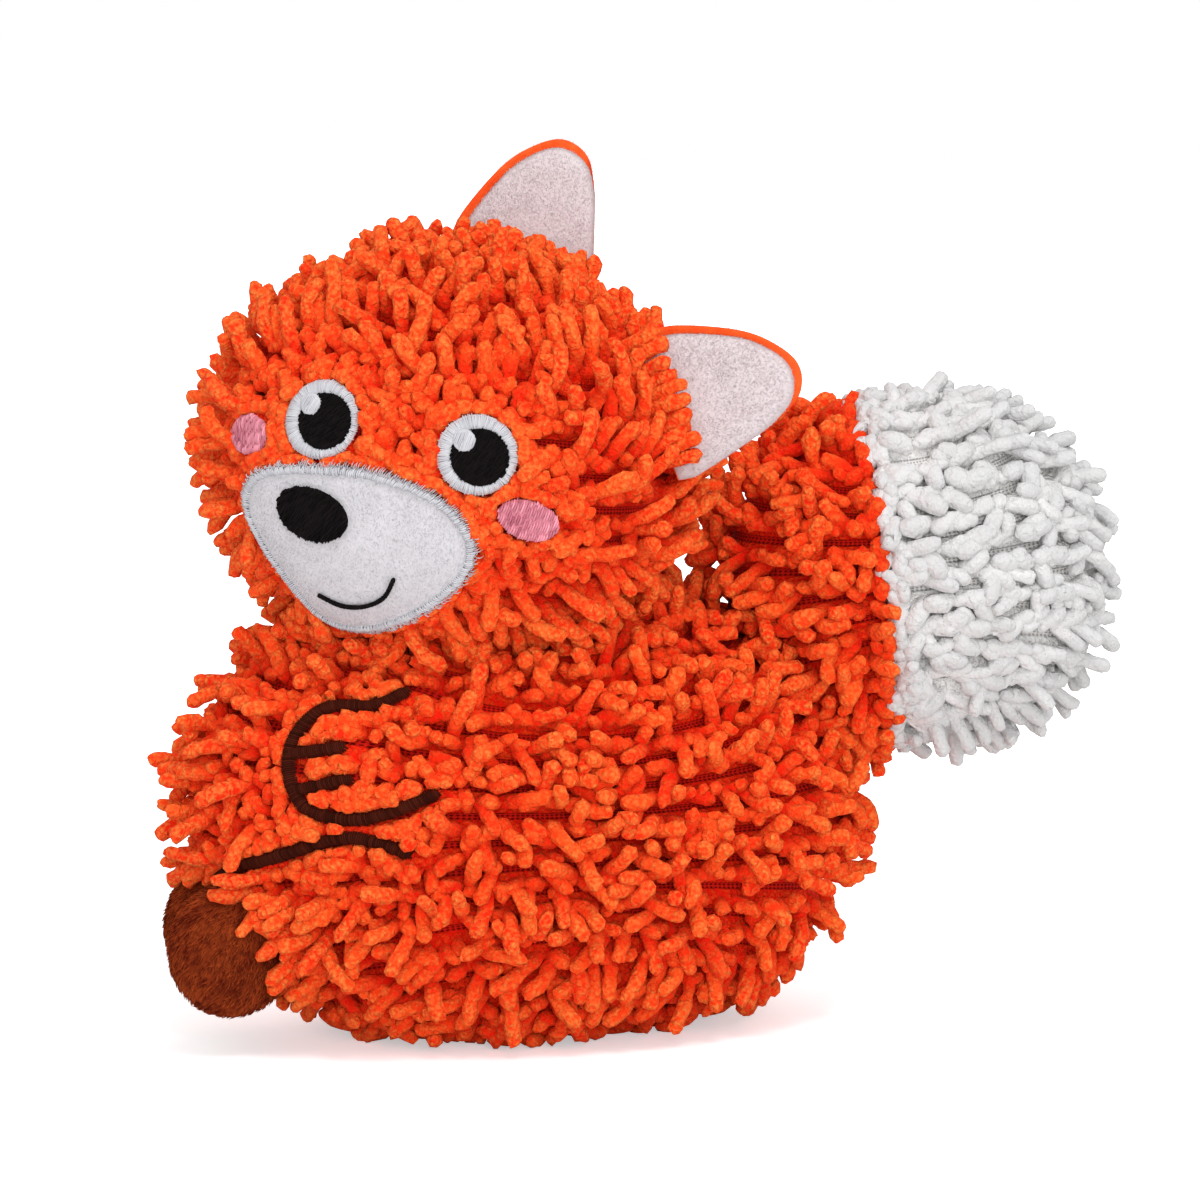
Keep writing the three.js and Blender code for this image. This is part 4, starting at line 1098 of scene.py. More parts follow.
def head_piles():
    """Fingers and short tufts of the head, with those round the ears and beside the face's patches."""
    def to_face(d):
        """How far directions lie from the nearest patch of the face."""
        return np.min([patch.beyond(d) for patch in face_patches], axis=0)

    def kept(d, within):
        """Directions clear of the face, the body and the ears' seams."""
        p = head.on_cloth(d)
        return d[(to_face(d) > within) & ~inside_others(p, [body], ROOT_CLEAR) & (near_ears(p) > 2.2)]

    d = kept(finger_roots(head, ROW_PITCH, FINGER_PITCH), 1.2)
    d = d[rng.uniform(size=len(d)) > 0.06]
    near = to_face(d)
    n = len(d)
    left, up = angles(d)
    # Brushed up over the crown and the cheek's side, and away from the chin
    upper = smooth((up + 10 + 16 * smooth((left - 45) / 20)) / 24)[:, None]
    comb = unit(away_from(head, heading(6, -4), d)) * (1 - 0.8 * upper) + upper * (0, -0.3, 1.0)
    comb = comb + (1 - upper) * (0, 0, -0.2) + 0.55 * unit(rng.normal(size=(n, 3)))
    # Short beside the eyes, the cheeks and the muzzle's top, long round the chin and on the face's far side
    short = smooth(1 - (near - 3) / 6) * smooth((up + 26) / 12) * smooth((left + 40) / 12)
    proud = smooth((-28 - left) / 8) * smooth((150 + left) / 40) * smooth((30 - up) / 30)
    length = rng.uniform(9.0, 13.0, n) * (1 - 0.5 * short)
    top = smooth((up - 30) / 25)
    rest = rng.uniform(8 + 12 * top, 62 + 12 * top, n) * (1 - 0.4 * short)
    rest = rest * (1 - proud) + rng.uniform(35, 80, n) * proud
    start = rest + rng.uniform(12, 34, n)
    over = rng.uniform(1.5, 6.5, n) * (1 - 0.75 * short) * (1 - proud) * (1 + 0.3 * top) + 6.5 * proud
    fringe = ear_fringe()
    rows = kept(finger_roots(head, ROW_PITCH, TUFT_PITCH, 0.3, 0.5), 1.5)
    between = kept(finger_roots(head, ROW_PITCH / 2, TUFT_PITCH, 0.3, 0.5), 1.5)
    between = between[to_face(between) < 11]
    rims = []
    for patch in face_patches:
        bearing = np.linspace(np.pi, -np.pi, 240)
        for out, pitch in ((1.3, 2.1), (3.1, 2.6)):
            rims.append(beside(head, patch.ring(bearing, patch.edge(bearing)), out, pitch))
    rim, run = (np.vstack(parts) for parts in zip(*rims))
    free = (to_face(rim) > 0.5) & ~inside_others(head.on_cloth(rim), [body], ROOT_CLEAR)
    rim, run = rim[free], run[free]
    outward = unit(rng.normal(size=(len(rim), 3)))
    return [
        Pile("head_chenille_fingers", head, d, comb, 42.0, start, rest, length,
             rng.uniform(*FINGER_THICK, n), over),
        fringe,
        puffs("head_chenille_row_puffs", head, rows, along_rows(head, rows)),
        puffs("head_chenille_puffs", head, between, over=1.0, lengths=(4.2, 6.4), rests=(12, 45)),
        puffs("face_rim_puffs", head, rim, run * rng.choice([-1, 1], len(rim))[:, None] + 0.6 * outward,
              over=0.4, lengths=(3.6, 5.0), rests=(0, 22), thick=(1.15, 1.35)),
    ]


def body_piles():
    """Fingers and short tufts of the body, with those over the feet and beside the stitched lines."""
    others = [head, tail, *feet.values()]

    def to_lines(d):
        """How far directions lie from the nearest stitched line."""
        return nearest(body.point(d), drawn_points)[0]

    def kept(d, within):
        """Directions clear of the stitched lines and the other forms."""
        p = body.on_cloth(d)
        return d[(to_lines(d) > within) & ~inside_others(p, others, ROOT_CLEAR)]

    d = kept(finger_roots(body, ROW_PITCH, FINGER_PITCH), 2.4)
    d = d[rng.uniform(size=len(d)) > 0.15]
    p, near = body.on_cloth(d), to_lines(d)
    n = len(d)
    palms = [Patch.ellipse(body, heading(29 * way, 13), 11, 12) for way in SIDES.values()]

    def in_hand(d):
        """How far directions lie outside the hands' palms."""
        return np.min([palm.beyond(d) for palm in palms], axis=0)

    # Short and packed inside the hands and along the lines
    packed = smooth(1 - in_hand(d) / 3)
    packed = np.maximum(packed, smooth(1 - (near - 3) / 4)) * (np.abs(p[:, 0]) > 10)
    low = smooth((34 - p[:, 2]) / 24)[:, None]
    front = smooth((-25 - p[:, 1]) / 20)[:, None]
    back = smooth((p[:, 1] - 20) / 25)[:, None]
    stray = unit(rng.normal(size=(n, 3))) * 0.9
    comb = stray + low * (0, -0.9, -1.4) + (1 - low) * (front * (0.1, -1.0, -0.7) + back * (0, 1.0, -0.1))
    by_foot = smooth(1 - (np.min([foot.own(p)[1] for foot in feet.values()], axis=0) - 1) / 9)[:, None]
    comb = comb * (1 - by_foot) + by_foot * (0, -1.0, -0.45)
    low, front, by_foot = low[:, 0], front[:, 0], by_foot[:, 0]
    # A little shorter on the sides, standing further out on the chest, and flat under the seat
    side = (1 - front) * (1 - low)
    length = rng.uniform(9.0, 13.0, n) * (1 - 0.5 * packed) * (1 - 0.18 * side) + 1.5 * by_foot
    rest = rng.uniform(4, 62, n)
    under = smooth((14 - p[:, 2]) / 8)
    chest = front * (1 - low) * (1 - packed)
    rest = rest * (1 - 0.45 * low) * (1 - under) * (1 - 0.4 * packed)
    rest = rest * (1 - 0.7 * chest) + 0.7 * chest * rng.uniform(8, 80, n)
    start = (rest + rng.uniform(12, 34, n)) * (1 - 0.7 * under)
    over = rng.uniform(0.8, 6.5, n) * (1 - 0.7 * packed) * (1 - 0.6 * under) + chest * rng.uniform(0, 6, n)
    over_foot = foot_fringe(kept(finger_roots(body, ROW_PITCH / 2, 3.4), 2.4))
    rows = kept(finger_roots(body, ROW_PITCH, TUFT_PITCH, 0.3, 0.5), 2.7)
    between = kept(finger_roots(body, ROW_PITCH / 2, 2.7, 0.3, 0.5), 2.7)
    at = body.point(between)
    on_chest = (at[:, 1] < -38) & (at[:, 2] > 26)
    between = between[(in_hand(between) < 1) | (to_lines(between) < 6) | on_chest]
    rims = []
    for line in [line for side in SIDES for line in (*hands[side], thighs[side])]:
        for way in (line, line[::-1]):
            rims.append(beside(body, way, 2.35, 2.4))
    rim, run = (np.vstack(parts) for parts in zip(*rims))
    free = (to_lines(rim) > 1.7) & ~inside_others(body.on_cloth(rim), others, ROOT_CLEAR)
    rim, run = rim[free], run[free]
    return [
        Pile("body_chenille_fingers", body, d, comb, 45.0, start, rest, length,
             rng.uniform(*FINGER_THICK, n), over),
        over_foot,
        puffs("body_chenille_row_puffs", body, rows, along_rows(body, rows)),
        puffs("body_chenille_puffs", body, between, over=0.8, lengths=(3.6, 5.2), rests=(12, 60)),
        puffs("hand_rim_puffs", body, rim, run * rng.choice([-1, 1], len(rim))[:, None], over=0.4,
              lengths=(3.4, 4.6), rests=(0, 20), thick=(1.15, 1.3)),
    ]


def seam_ring(level):
    """Directions round the tail, where its own backwards measure is `level`."""
    turn = np.linspace(0, 2 * np.pi, 240)
    ring = unit(np.stack([np.cos(turn) * 24, np.full(240, level), np.sin(turn) * 24], -1))
    for _ in range(8):
        across = np.sqrt(tail.radius(ring) ** 2 - level**2)
        ring = unit(np.stack([np.cos(turn) * across, np.full(240, level), np.sin(turn) * across], -1))
    return ring


def tail_piles(name, white):
    """Fingers and short tufts of one of the tail's cloths. The white one lies flat but for its end."""
    tail_side = 1 if white else -1

    def kept(d):
        """Directions on this cloth's side of the seam, clear of the body and the head."""
        p = tail.on_cloth(d)
        seam = ((p - tail.centre) @ tail.turn)[:, 1] + TAIL_SEAM
        return d[(seam * tail_side > 1.2) & ~inside_others(p, [body, head], ROOT_CLEAR)]

    d = kept(finger_roots(tail, ROW_PITCH, FINGER_PITCH + (0.3 if white else 0), 0.3 if white else 0.16))
    own = (tail.on_cloth(d) - tail.centre) @ tail.turn
    n = len(d)
    by_seam = smooth(1 - (np.abs(own[:, 1] + TAIL_SEAM) - 2) / 5)
    around = np.cross(d, [0.0, 1.0, 0.0]) @ tail.turn.T * rng.choice([-1, 1], n)[:, None]
    stray = unit(rng.normal(size=(n, 3)))
    rows = kept(finger_roots(tail, ROW_PITCH, TUFT_PITCH, 0.3, 0.4))
    if white:
        lumps = puffs(name + "_lumps", tail, d, along_rows(tail, d) + 0.6 * stray, over=0.3,
                      lengths=(5.0, 8.0), rests=(0, 12), thick=(1.6, 2.0))
        row_puffs = puffs(name + "_row_puffs", tail, rows, along_rows(tail, rows), over=0.2,
                          lengths=(4.0, 6.0), rests=(0, 12), thick=(1.3, 1.6))
        made = [lumps, row_puffs]
        # Proud at the end, underneath and at the end's upper side
        end, under = smooth((own[:, 1] - 20) / 10), smooth((-15 - own[:, 2]) / 10)
        crown = smooth((own[:, 2] - 10) / 12) * smooth((own[:, 1] + 2) / 10)
        proud = np.maximum(np.maximum(end, under), 0.8 * crown)
        out = rng.uniform(size=n) < 0.1 + 0.75 * proud
        d, stray, by_seam, around = d[out], stray[out], by_seam[out], around[out]
        end, under, crown, proud, n = end[out], under[out], crown[out], proud[out], out.sum()
        comb = 0.4 * along_rows(tail, d) + 0.3 * stray + (0, 0.3, -0.2)
        comb = comb + end[:, None] * (0.1, 1.0, -0.2) + under[:, None] * (0, 0.2, -1.0)
        comb = comb + crown[:, None] * (0, 0.9, 0.3)
        length, thick = rng.uniform(7.0, 9.0, n) + 2 * proud, rng.uniform(1.25, 1.5, n)
        rest = rng.uniform(0, 12, n) * (1 - proud) + rng.uniform(10, 60, n) * proud
        over = rng.uniform(0.3, 1.5, n) + 5 * proud
    else:
        comb, length, thick = stray, rng.uniform(8.5, 12.0, n), rng.uniform(*FINGER_THICK, n)
        rest, over = rng.uniform(3, 60, n), rng.uniform(0.6, 6.0, n)
        made = [puffs(name + "_row_puffs", tail, rows, along_rows(tail, rows), over=0.7)]
    comb = comb * (1 - 0.6 * by_seam[:, None]) + 0.6 * around * by_seam[:, None]
    length = length * (1 - 0.3 * by_seam)
    start = rest + (rng.uniform(4, 14, n) if white else rng.uniform(12, 34, n))
    seam_d, run = beside(tail, seam_ring(1.5 * tail_side - TAIL_SEAM), 0.0, 2.0)
    seam_d = unit(seam_d + np.outer(rng.uniform(-1.3, 1.3, len(seam_d)) / 30, (0, 1, 0)))
    free = ~inside_others(tail.on_cloth(seam_d), [body, head], ROOT_CLEAR)
    run = run[free] * rng.choice([-1, 1], free.sum())[:, None]
    made.append(puffs(name + "_seam_puffs", tail, seam_d[free], run, over=0.8, lengths=(3.8, 5.4),
                      rests=(5, 30), thick=(1.3, 1.55)))
    spread = 25.0 if white else 40.0
    made.append(Pile(name + "_fingers", tail, d, comb, spread, start, rest, length, thick, over))
    return made


piles = [*body_piles(), *head_piles()]
piles += [*tail_piles("tail_chenille", False), *tail_piles("tail_tip_chenille", True)]
settled(piles, 36)
# Where along a finger and along a short tuft its thickness changes, and how thick it is there
FINGER = (
    [0, 0.12, 0.24, 0.37, 0.5, 0.63, 0.76, 0.88, 0.96, 1.0],
    [0.85, 0.97, 1.0, 1.0, 1.03, 1.0, 1.03, 1.0, 0.78, 0.35],
)
TUFT = [0, 0.35, 0.68, 0.9, 1.0], [0.9, 1.0, 1.05, 0.82, 0.35]
for number, pile in enumerate(piles):
    white = pile.name.startswith("tail_tip")
    shares, swell = FINGER if pile.loose else TUFT
    lines = fine_lines(pile.lines, shares)
    _, height = pile.form.own(lines)
    knobs = 1 + (0.03 if white else 0.07) * rng.normal(size=lines.shape[:2])
    # The height out of the pile sets each point's painted shade; short tufts count 0.8 mm further out, so
    # they are painted less deep
    made = strands(
        pile.name, lines, pile.thick[:, None] * np.array(swell) * knobs, pile.tint,
        white_chenille if white else orange_chenille, sides=7 if pile.loose else 6,
        lump_size=1.15, lump_height=0.9 if white else 1.6, seed=number + 1.0,
        rise=height + GROUND_DEPTH + (0.0 if pile.loose else 0.8))
    place(made, slot="white_chenille" if white else "orange_chenille")


# ---------------------------------------------------------------- embroidery
def bed(name, patch, low, high, material, crown=0.0, grow=0.0, rings=8, columns=96):
    """A closed thin pad over a patch, from its middle out to its outline."""
    bearing = np.linspace(-np.pi, np.pi, columns, endpoint=False)
    shares = np.linspace(0, 1, rings + 1)[1:]
    reach = shares[:, None] * (patch.edge(bearing) + grow)[None]
    d = patch.ring(np.broadcast_to(bearing, reach.shape), reach)
    top = patch.form.point(d, high + crown * (1 - shares[:, None] ** 2) + 0 * reach)
    under = patch.form.point(d, low + 0 * reach)
    middle = patch.middle[None]
    points = np.vstack([patch.form.point(middle, np.array([high + crown])), top.reshape(-1, 3),
                        under[::-1].reshape(-1, 3), patch.form.point(middle, np.array([low]))])
    faces = [(face[0], *face[:0:-1]) for face in closed_skin(columns, 2 * rings)]
    return mesh_object(name, points, faces, material, tint=np.zeros(len(points)))


def stitches(form, ends_a, ends_b, out, height, thick, sink=0.25, steps=5):
    """Lines of stitches from one direction to another over a form, each arched between its ends."""
    share = np.linspace(0, 1, steps)
    d = unit(ends_a[:, None] * (1 - share)[None, :, None] + ends_b[:, None] * share[None, :, None])
    at_end = np.abs(2 * share - 1) > 0.99
    arch = height * np.sqrt(np.clip(1 - (2 * share - 1) ** 2, 0, 1)) - sink * at_end
    lines = form.point(d, out + arch[None] + 0 * d[..., 0])
    swell = thick * np.where(at_end, 0.6, 1.0)
    return lines, np.broadcast_to(swell, lines.shape[:2])


def radial(patch, inner, outer, pitch, jitter, seed):
    """Ends of satin stitches round a patch, between two rings that `inner` and `outer` give by bearing."""
    spin = np.random.default_rng(seed)
    fine = np.linspace(-np.pi, np.pi, 721)
    edge = patch.ring(fine, patch.edge(fine))
    along = distance_along(patch.form.point(edge))
    count = round(along[-1] / pitch)
    bearing = np.interp(np.arange(count) / count * along[-1], along, fine)
    slant = spin.uniform(-0.25, 0.25, count) * pitch / patch.edge(bearing)
    a = patch.ring(bearing, inner(bearing) + spin.uniform(-jitter, jitter, count))
    b = patch.ring(bearing + slant, outer(bearing) + spin.uniform(-jitter, jitter, count))
    return a, b


def filled(patch, angle, pitch, stitch, seed):
    """Ends of fill stitches in parallel rows across a patch, each row broken at its own places."""
    spin = np.random.default_rng(seed)
    a = math.radians(angle)
    size = patch.reaches.max() + 1
    starts, ends = [], []
    for offset in np.arange(-size, size, pitch):
        t = np.linspace(-size, size, 400)
        x, y = t * math.cos(a) - offset * math.sin(a), t * math.sin(a) + offset * math.cos(a)
        within = np.hypot(x, y) < patch.edge(np.arctan2(y, x))
        if within.sum() < 4:
            continue
        low, high = t[within].min() + spin.uniform(-0.22, 0.12), t[within].max() + spin.uniform(-0.12, 0.22)
        cuts = np.arange(low + spin.uniform(0.3, 1) * stitch, high - 0.25 * stitch, stitch)
        cuts = np.concatenate([[low], cuts, [high]])
        for s, e in zip(cuts[:-1], cuts[1:]):
            starts.append((s, offset + spin.uniform(-0.05, 0.05)))
            ends.append((e, offset + spin.uniform(-0.05, 0.05)))

    def direction(places):
        """Directions of places along and across the rows."""
        t, o = np.array(places).T
        return patch.at(t * math.cos(a) - o * math.sin(a), t * math.sin(a) + o * math.cos(a))

    return direction(starts), direction(ends)


def embroider(name, lines, thick, material, seed, sides=5):
    """Thread along the lines, each stitch in its own shade."""
    spin = np.random.default_rng(seed)
    tint = np.clip(0.55 * spin.normal(size=len(lines)), -1, 1)
    return strands(name, lines, thick, tint, material, sides=sides)


THREADS = {"white_thread": white_thread, "black_thread": black_thread, "pink_thread": pink_thread}


def filled_form(name, node, patch, slot, bed_heights, rows, stitch, seed, **bed_shape):
    """An embroidered form: a bed, and over it rows of fill stitches in their own angle, pitch and length."""
    base = bed("bed", patch, *bed_heights, THREADS[slot], **bed_shape)
    lines, thick = stitches(head, *filled(patch, *rows, seed), *stitch)
    over = embroider("rows", lines, thick, THREADS[slot], seed + 1)
    place(joined(name, [base, over]), [node], slot)


# The top of the flat forms on the face's cloth
FLAT = LIFT + 0.35
for side in SIDES:
    eye, pupil = eyes[side], pupils[side]
    base = bed("eye_bed", eye, LIFT - 0.3, FLAT, white_thread)
    hole = Patch(head, eye.middle, pupil.ring(pupil.bearings, pupil.reaches))
    a, b = radial(eye, lambda t: hole.edge(t) - 0.3, lambda t: eye.edge(t) + 0.1, 0.36, 0.22, 11)
    lines, thick = stitches(head, a, b, FLAT - 0.05, 0.34, 0.2)
    rays = embroider("rays", lines, thick, white_thread, 12)
    place(joined(f"eye_{side}_white_satin", [base, rays]), [f"eye_{side}_white"], "white_thread")
    filled_form(f"eye_{side}_pupil_fill", f"eye_{side}_pupil", pupil, "black_thread",
                (LIFT - 0.2, FLAT + 0.2), (62, 0.36, 2.6), (FLAT + 0.12, 0.2, 0.21), 13, grow=-0.15)
    filled_form(f"eye_{side}_glint_satin", f"eye_{side}_glint", glints[side], "white_thread",
                (FLAT, FLAT + 0.55), (80, 0.3, 5), (FLAT + 0.5, 0.15, 0.19), 15, rings=4, columns=48)
    filled_form(f"cheek_{side}_fill", f"cheek_{side}", cheeks[side], "pink_thread", (LIFT - 0.3, FLAT),
                (90 - 10 * SIDES[side], 0.42, 2.3), (FLAT - 0.05, 0.24, 0.23), 17, grow=-0.1)
filled_form("nose_fill", "nose", nose, "black_thread", (ON_PATCH - 0.3, ON_PATCH + 0.35),
            (64, 0.38, 2.8), (ON_PATCH + 0.42, 0.22, 0.22), 21, crown=0.3, grow=-0.15)

mouth_line = line_on(MOUTH, 241)
cuts = mouth_line[:240:9]
lines, thick = stitches(head, cuts[:-1], cuts[1:], ON_PATCH - 0.15, 0.22, 0.46, sink=0.1)
place(embroider("mouth_stitching", lines, thick, black_thread, 24, sides=6), ["mouth"], "black_thread")


def nap(name, points, normals, lean, length, thick, material, seed, stand):
    """Short fibres over a surface, leaning one way. `stand` is how steeply."""
    spin = np.random.default_rng(seed)
    n = len(points)
    lean = unit(lean - (lean * normals).sum(1, keepdims=True) * normals)
    side = np.cross(normals, lean)
    turn = spin.normal(scale=0.3, size=n)
    lean = lean * np.cos(turn)[:, None] + side * np.sin(turn)[:, None]
    half = (0.5 * (length * spin.uniform(0.65, 1.2, n)))[:, None]
    aim = unit(normals * (stand * spin.uniform(0.6, 1.4, n))[:, None] + lean)
    tip = unit(aim + 0.5 * lean)
    lines = np.stack([points - 0.1 * normals, points + aim * half, points + aim * half + tip * half], 1)
    swell = np.broadcast_to(thick * np.array([1.0, 0.75, 0.15]), (n, 3))
    tint = np.clip(0.5 * spin.normal(size=n), -1, 1)
    return strands(name, lines, swell, tint, material, sides=3)


# How wide the muzzle's satin edge is, and how long and thick the fine nap is and how steeply it stands
MUZZLE_BAND = 1.7
FINE_NAP = 0.45, 0.05, 0.5
base = bed("muzzle_bed", muzzle, LIFT - 0.3, LIFT + VELOUR - 0.4, white_velour,
           crown=0.4, grow=-0.9, rings=20, columns=128)
spin = np.random.default_rng(31)
x, y = spin.uniform(-26, 26, (2, 30000))
inside = np.hypot(x, y) < muzzle.edge(np.arctan2(y, x)) - MUZZLE_BAND + 0.2
d = muzzle.at(x[inside][:8500], y[inside][:8500])
d = d[nose.beyond(d) > 0.1]
bearing, reach = muzzle.polar(d)
share = 1 - np.clip(reach / muzzle.edge(bearing), 0, 1) ** 2
p = head.point(d, LIFT + VELOUR - 0.45 + 0.4 * share)
lean = np.tile(-picture_up + 0.35 * picture_right, (len(p), 1))
length, thick, stand = FINE_NAP
fuzz = nap("muzzle_nap", p, head.normal(p), lean, length, thick, white_velour, 32, stand)
place(joined("muzzle_velour", [base, fuzz]), ["muzzle_patch"], "white_velour", fill=0.3)

band = bed("muzzle_band_bed", muzzle, LIFT - 0.3, LIFT + 1.0, white_thread, grow=-0.1, rings=6, columns=160)
a, b = radial(muzzle, lambda t: muzzle.edge(t) - MUZZLE_BAND, lambda t: muzzle.edge(t) + 0.05,
              0.38, 0.25, 33)
lines, thick = stitches(head, a, b, LIFT + 0.95, 0.75, 0.2)
rays = embroider("rays", lines, thick, white_thread, 34)
# The velour's own fibres stick out past the stitching, all round
a, b = radial(muzzle, lambda t: muzzle.edge(t) - 0.5, lambda t: muzzle.edge(t) + 1.0, 0.36, 0.6, 35)
lines, thick = stitches(head, a, b, LIFT + 1.15, 0.35, 0.13, sink=0.5, steps=4)
fringe = embroider("fringe", lines, thick * np.array([1.2, 1.0, 0.8, 0.3]), white_thread, 36, sides=3)
place(joined("muzzle_edge_satin", [band, rays, fringe]), ["muzzle_edge_stitching"], "white_thread")


def satin_line(form, centre_line, width, out, pitch, seed):
    """Satin stitches across a line: their lines and thickness."""
    spin = np.random.default_rng(seed)
    along = distance_along(form.point(centre_line))
    count = round(along[-1] / pitch)
    want = (np.arange(count) + 0.5) / count * along[-1]
    d = unit(read_off(want, along, centre_line))
    tangent = unit(np.gradient(d, axis=0))
    across = unit(np.cross(tangent, d))
    half = (width / 2 + spin.uniform(-0.12, 0.12, count)) / form.radius(d)
    end = np.sqrt(np.clip(np.minimum(want, along[-1] - want) / (width / 2), 0.15, 1))
    half = (half * end)[:, None]
    slant = tangent * (0.25 * pitch / form.radius(d))[:, None]
    return stitches(form, unit(d - across * half - slant), unit(d + across * half + slant), out, 0.62, 0.24)


LINE_WIDTH, LINE_PITCH = 2.3, 0.4
for side in SIDES:
    parts = [satin_line(body, d, LINE_WIDTH, LIFT - 0.1, LINE_PITCH, seed)
             for d, seed in zip(hands[side], (41, 42, 43))]
    lines, thick = (np.vstack(group) for group in zip(*parts))
    made = embroider(f"hand_{side}_satin", lines, thick, brown_thread, 44)
    place(made, [f"hand_{side}_outline"], "brown_thread")
    lines, thick = satin_line(body, thighs[side], LINE_WIDTH, LIFT - 0.1, LINE_PITCH, 45)
    clear = feet[side].own(lines[:, 2])[1] > 0.6
    made = embroider(f"thigh_{side}_satin", lines[clear], thick[clear], brown_thread, 46)
    place(made, [f"thigh_{side}_outline"], "brown_thread")


# ---------------------------------------------------------------- ears
# Fibres of an ear panel's nap
EAR_NAP = 7000


def ear_panel(name, facing, inset, foot, material, origin, axes, seed, rim=0.0):
    """A padded panel of velour with its nap, from the pattern's outline down into the pile."""
    half = EAR_WIDTH / 2 - inset
    height = EAR_HEIGHT - inset
    # The front panel is sewn off the middle, so the back shows as a rim along one side and over the tip
    aside = inset - 0.1 if inset else 0.0
    corners = [(x * half + aside * smooth(x * 1.2), 0, z * height) for x, z in EAR_OUTLINE]
    far = half + aside
    # The foot draws in a little, from the seam's ends down to its own
    foot_near, foot_far = half * 0.97, far * 0.97
    outline = rounded([(-foot_near, 0, foot), (-half, 0, foot / 2), *corners, (far, 0, foot / 2),
                       (foot_far, 0, foot)], 90)
    base = np.stack([np.linspace(foot_far, -foot_near, 26)[1:-1], np.zeros(24), np.full(24, foot)], -1)
    outline = np.vstack([outline, base])
    middle = np.array([0.0, 0, height * 0.42])
    columns, rings = len(outline), 14
    shares = np.linspace(0, 1, rings + 1)[1:]

    def lay(q, depth):
        """Places of the flat pattern, cupped and set on the head, at a depth of the panel."""
        cup = EAR_CUP * (q[..., 0] / (EAR_WIDTH / 2)) ** 2 * np.clip(q[..., 2], 0, None) / EAR_HEIGHT
        local = np.stack([q[..., 0], facing * (GAP / 2 + depth) - cup, q[..., 2]], -1)
        return origin + local @ axes

    flat = middle + shares[:, None, None] * (outline - middle)[None]
    bulge = EAR_PAD * (1 - shares**4) + EAR_EDGE * np.sqrt(np.clip(1 - shares**14, 0, 1))
    top = lay(flat, bulge[:, None])
    crown = lay(middle[None], np.array([EAR_PAD + EAR_EDGE]))
    curl = rim * smooth((0.5 - flat[..., 0] / half) / 0.5)
    under = lay(flat, -curl * smooth((shares - 0.86) / 0.14)[:, None])
    points = np.vstack([crown, top.reshape(-1, 3),
                        under[::-1].reshape(-1, 3), lay(middle[None], np.zeros(1))])
    faces = closed_skin(columns, 2 * rings)
    if facing < 0:
        faces = [face[::-1] for face in faces]
    panel = mesh_object(name, points, faces, material, tint=np.zeros(len(points)))
    # Roots of the nap, anywhere on the top's grid of columns and rings
    spin = np.random.default_rng(seed)
    u, v = spin.uniform(0, columns, EAR_NAP), np.sqrt(spin.uniform(0.0, 1, EAR_NAP)) * rings
    i, j = u.astype(int) % columns, np.clip(v.astype(int), 0, rings - 1)
    grid = np.concatenate([np.broadcast_to(crown, (1, columns, 3)), top])
    s, t = (u - u.astype(int))[:, None], (v - j)[:, None]
    n = (i + 1) % columns
    inner = grid[j, i] * (1 - s) + grid[j, n] * s
    outer = grid[j + 1, i] * (1 - s) + grid[j + 1, n] * s
    p = inner * (1 - t) + outer * t
    normal = unit(np.cross(grid[j, n] - grid[j, i] + 1e-6, grid[j + 1, i] - grid[j, i]))
    outward = facing * axes[1]
    normal = np.where(((normal * outward).sum(1) < 0)[:, None], -normal, normal)
    high = ((p - origin) @ axes.T)[:, 2] > -3.5
    lean = np.tile(axes[2], (len(p), 1)) + 0.25 * (p - origin - axes[2] * 8) / 12
    length, thick, stand = FINE_NAP
    fuzz = nap("nap", p[high], normal[high], lean[high], length, thick, material, seed + 1, stand)
    return joined(name, [panel, fuzz])


for side in SIDES:
    at = ear_frames[side]
    made = ear_panel(f"ear_{side}_back_velour", 1, 0.0, -4.2, orange_velour, *at, 51, rim=1.0)
    place(made, [f"ear_{side}_back"], "orange_velour", on=f"ear_{side}", fill=0.25)
    made = ear_panel(f"ear_{side}_front_velour", -1, EAR_RIM, -4.0, ear_velour, *at, 53)
    place(made, [f"ear_{side}_front"], "white_velour", on=f"ear_{side}", fill=0.25)


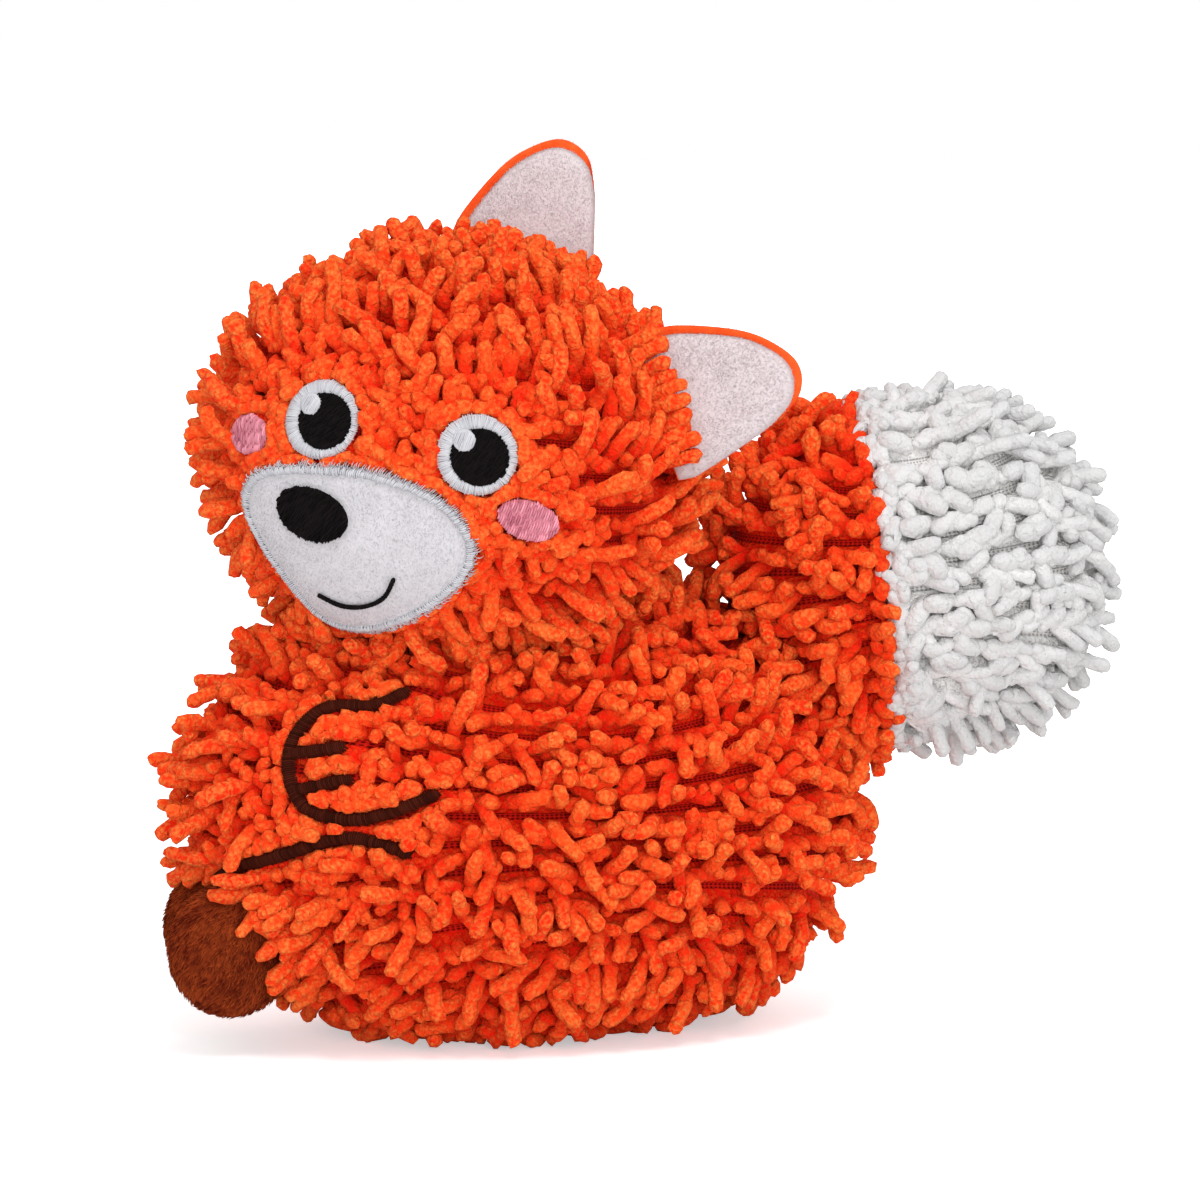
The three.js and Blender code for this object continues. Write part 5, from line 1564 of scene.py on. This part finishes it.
# ---------------------------------------------------------------- feet
# The nap starts this far below the foot's surface
NAP_ROOT = 0.5
for side, foot in feet.items():
    directions, faces = ball_grid(64, 40)
    points = foot.point(directions, -NAP_ROOT + np.zeros(len(directions)))
    points = outside(points, foot.centre, [body], GAP)
    base = mesh_object("foot", points, faces, brown_velour, tint=np.zeros(len(points)))
    spin = np.random.default_rng(61)
    d = unit(spin.normal(size=(5200, 3)))
    p = foot.point(d, np.full(len(d), -NAP_ROOT))
    p = p[~inside_others(p, [body], ROOT_CLEAR)]
    lean = np.tile([0.0, -0.6, -0.8], (len(p), 1))
    fuzz = nap("nap", p, foot.normal(p), lean, 1.3, 0.2, brown_velour, 62, 0.6)
    place(joined(f"foot_{side}_velour", [base, fuzz]), [f"foot_{side}_cover"], "brown_velour", fill=0.8)


# ---------------------------------------------------------------- fillings and squeaker, inside
# How far the filling stays off the floor, and how deep it lies under a cover's pile and a foot's velour
FIBRE_FLOOR = 1.6
FIBRE_SINK, FOOT_FIBRE_SINK = 2.1, 1.5


def fibre_lump(form, directions, out):
    """A lumpy surface inside a form, clear of the floor."""
    points = form.point(directions, out + 0.4 * swirl(directions * 30, 9, 5))
    points[:, 2] = np.maximum(points[:, 2], FIBRE_FLOOR)
    return points


def filling(name, form, out, node, columns=56, rows=36):
    """Loose fibre in lumps, just inside its cover."""
    directions, faces = ball_grid(columns, rows)
    points = outside(fibre_lump(form, directions, out), form.centre, [body], GAP + 1.2)
    place(mesh_object(name, points, faces, fibre_filling), [node], "fibre_filling", fill=0.9)


filling("head_fibre", head, -FINGER_PILE - FIBRE_SINK, "head_filling")
filling("tail_fibre", tail, -FINGER_PILE - FIBRE_SINK, "tail_filling")
for side, foot in feet.items():
    filling(f"foot_{side}_fibre", foot, -VELOUR - FOOT_FIBRE_SINK, f"foot_{side}_filling", 32, 20)
# The body's filling has a pocket for the squeaker
POCKET_WIDE, POCKET_HIGH = 18.5, 14.5
directions, faces = ball_grid(56, 36)
shell = fibre_lump(body, directions, -FINGER_PILE - FIBRE_SINK)
level = (directions[:, 0] ** 2 + directions[:, 1] ** 2) / POCKET_WIDE**2
reach = 1 / np.sqrt(level + (directions[:, 2] / POCKET_HIGH) ** 2)
pocket = directions * reach[:, None] + body.centre + (0, 0, 1.5)
inwards = [tuple(len(shell) + i for i in face[::-1]) for face in faces]
made = mesh_object("body_fibre", np.vstack([shell, pocket]), faces + inwards, fibre_filling)
place(made, ["body_filling"], "fibre_filling", fill=0.9)

for node in ("squeaker_bulb", "squeaker_reed"):
    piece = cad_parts[node]
    piece.data.materials.clear()
    piece.data.materials.append(squeaker_plastic)
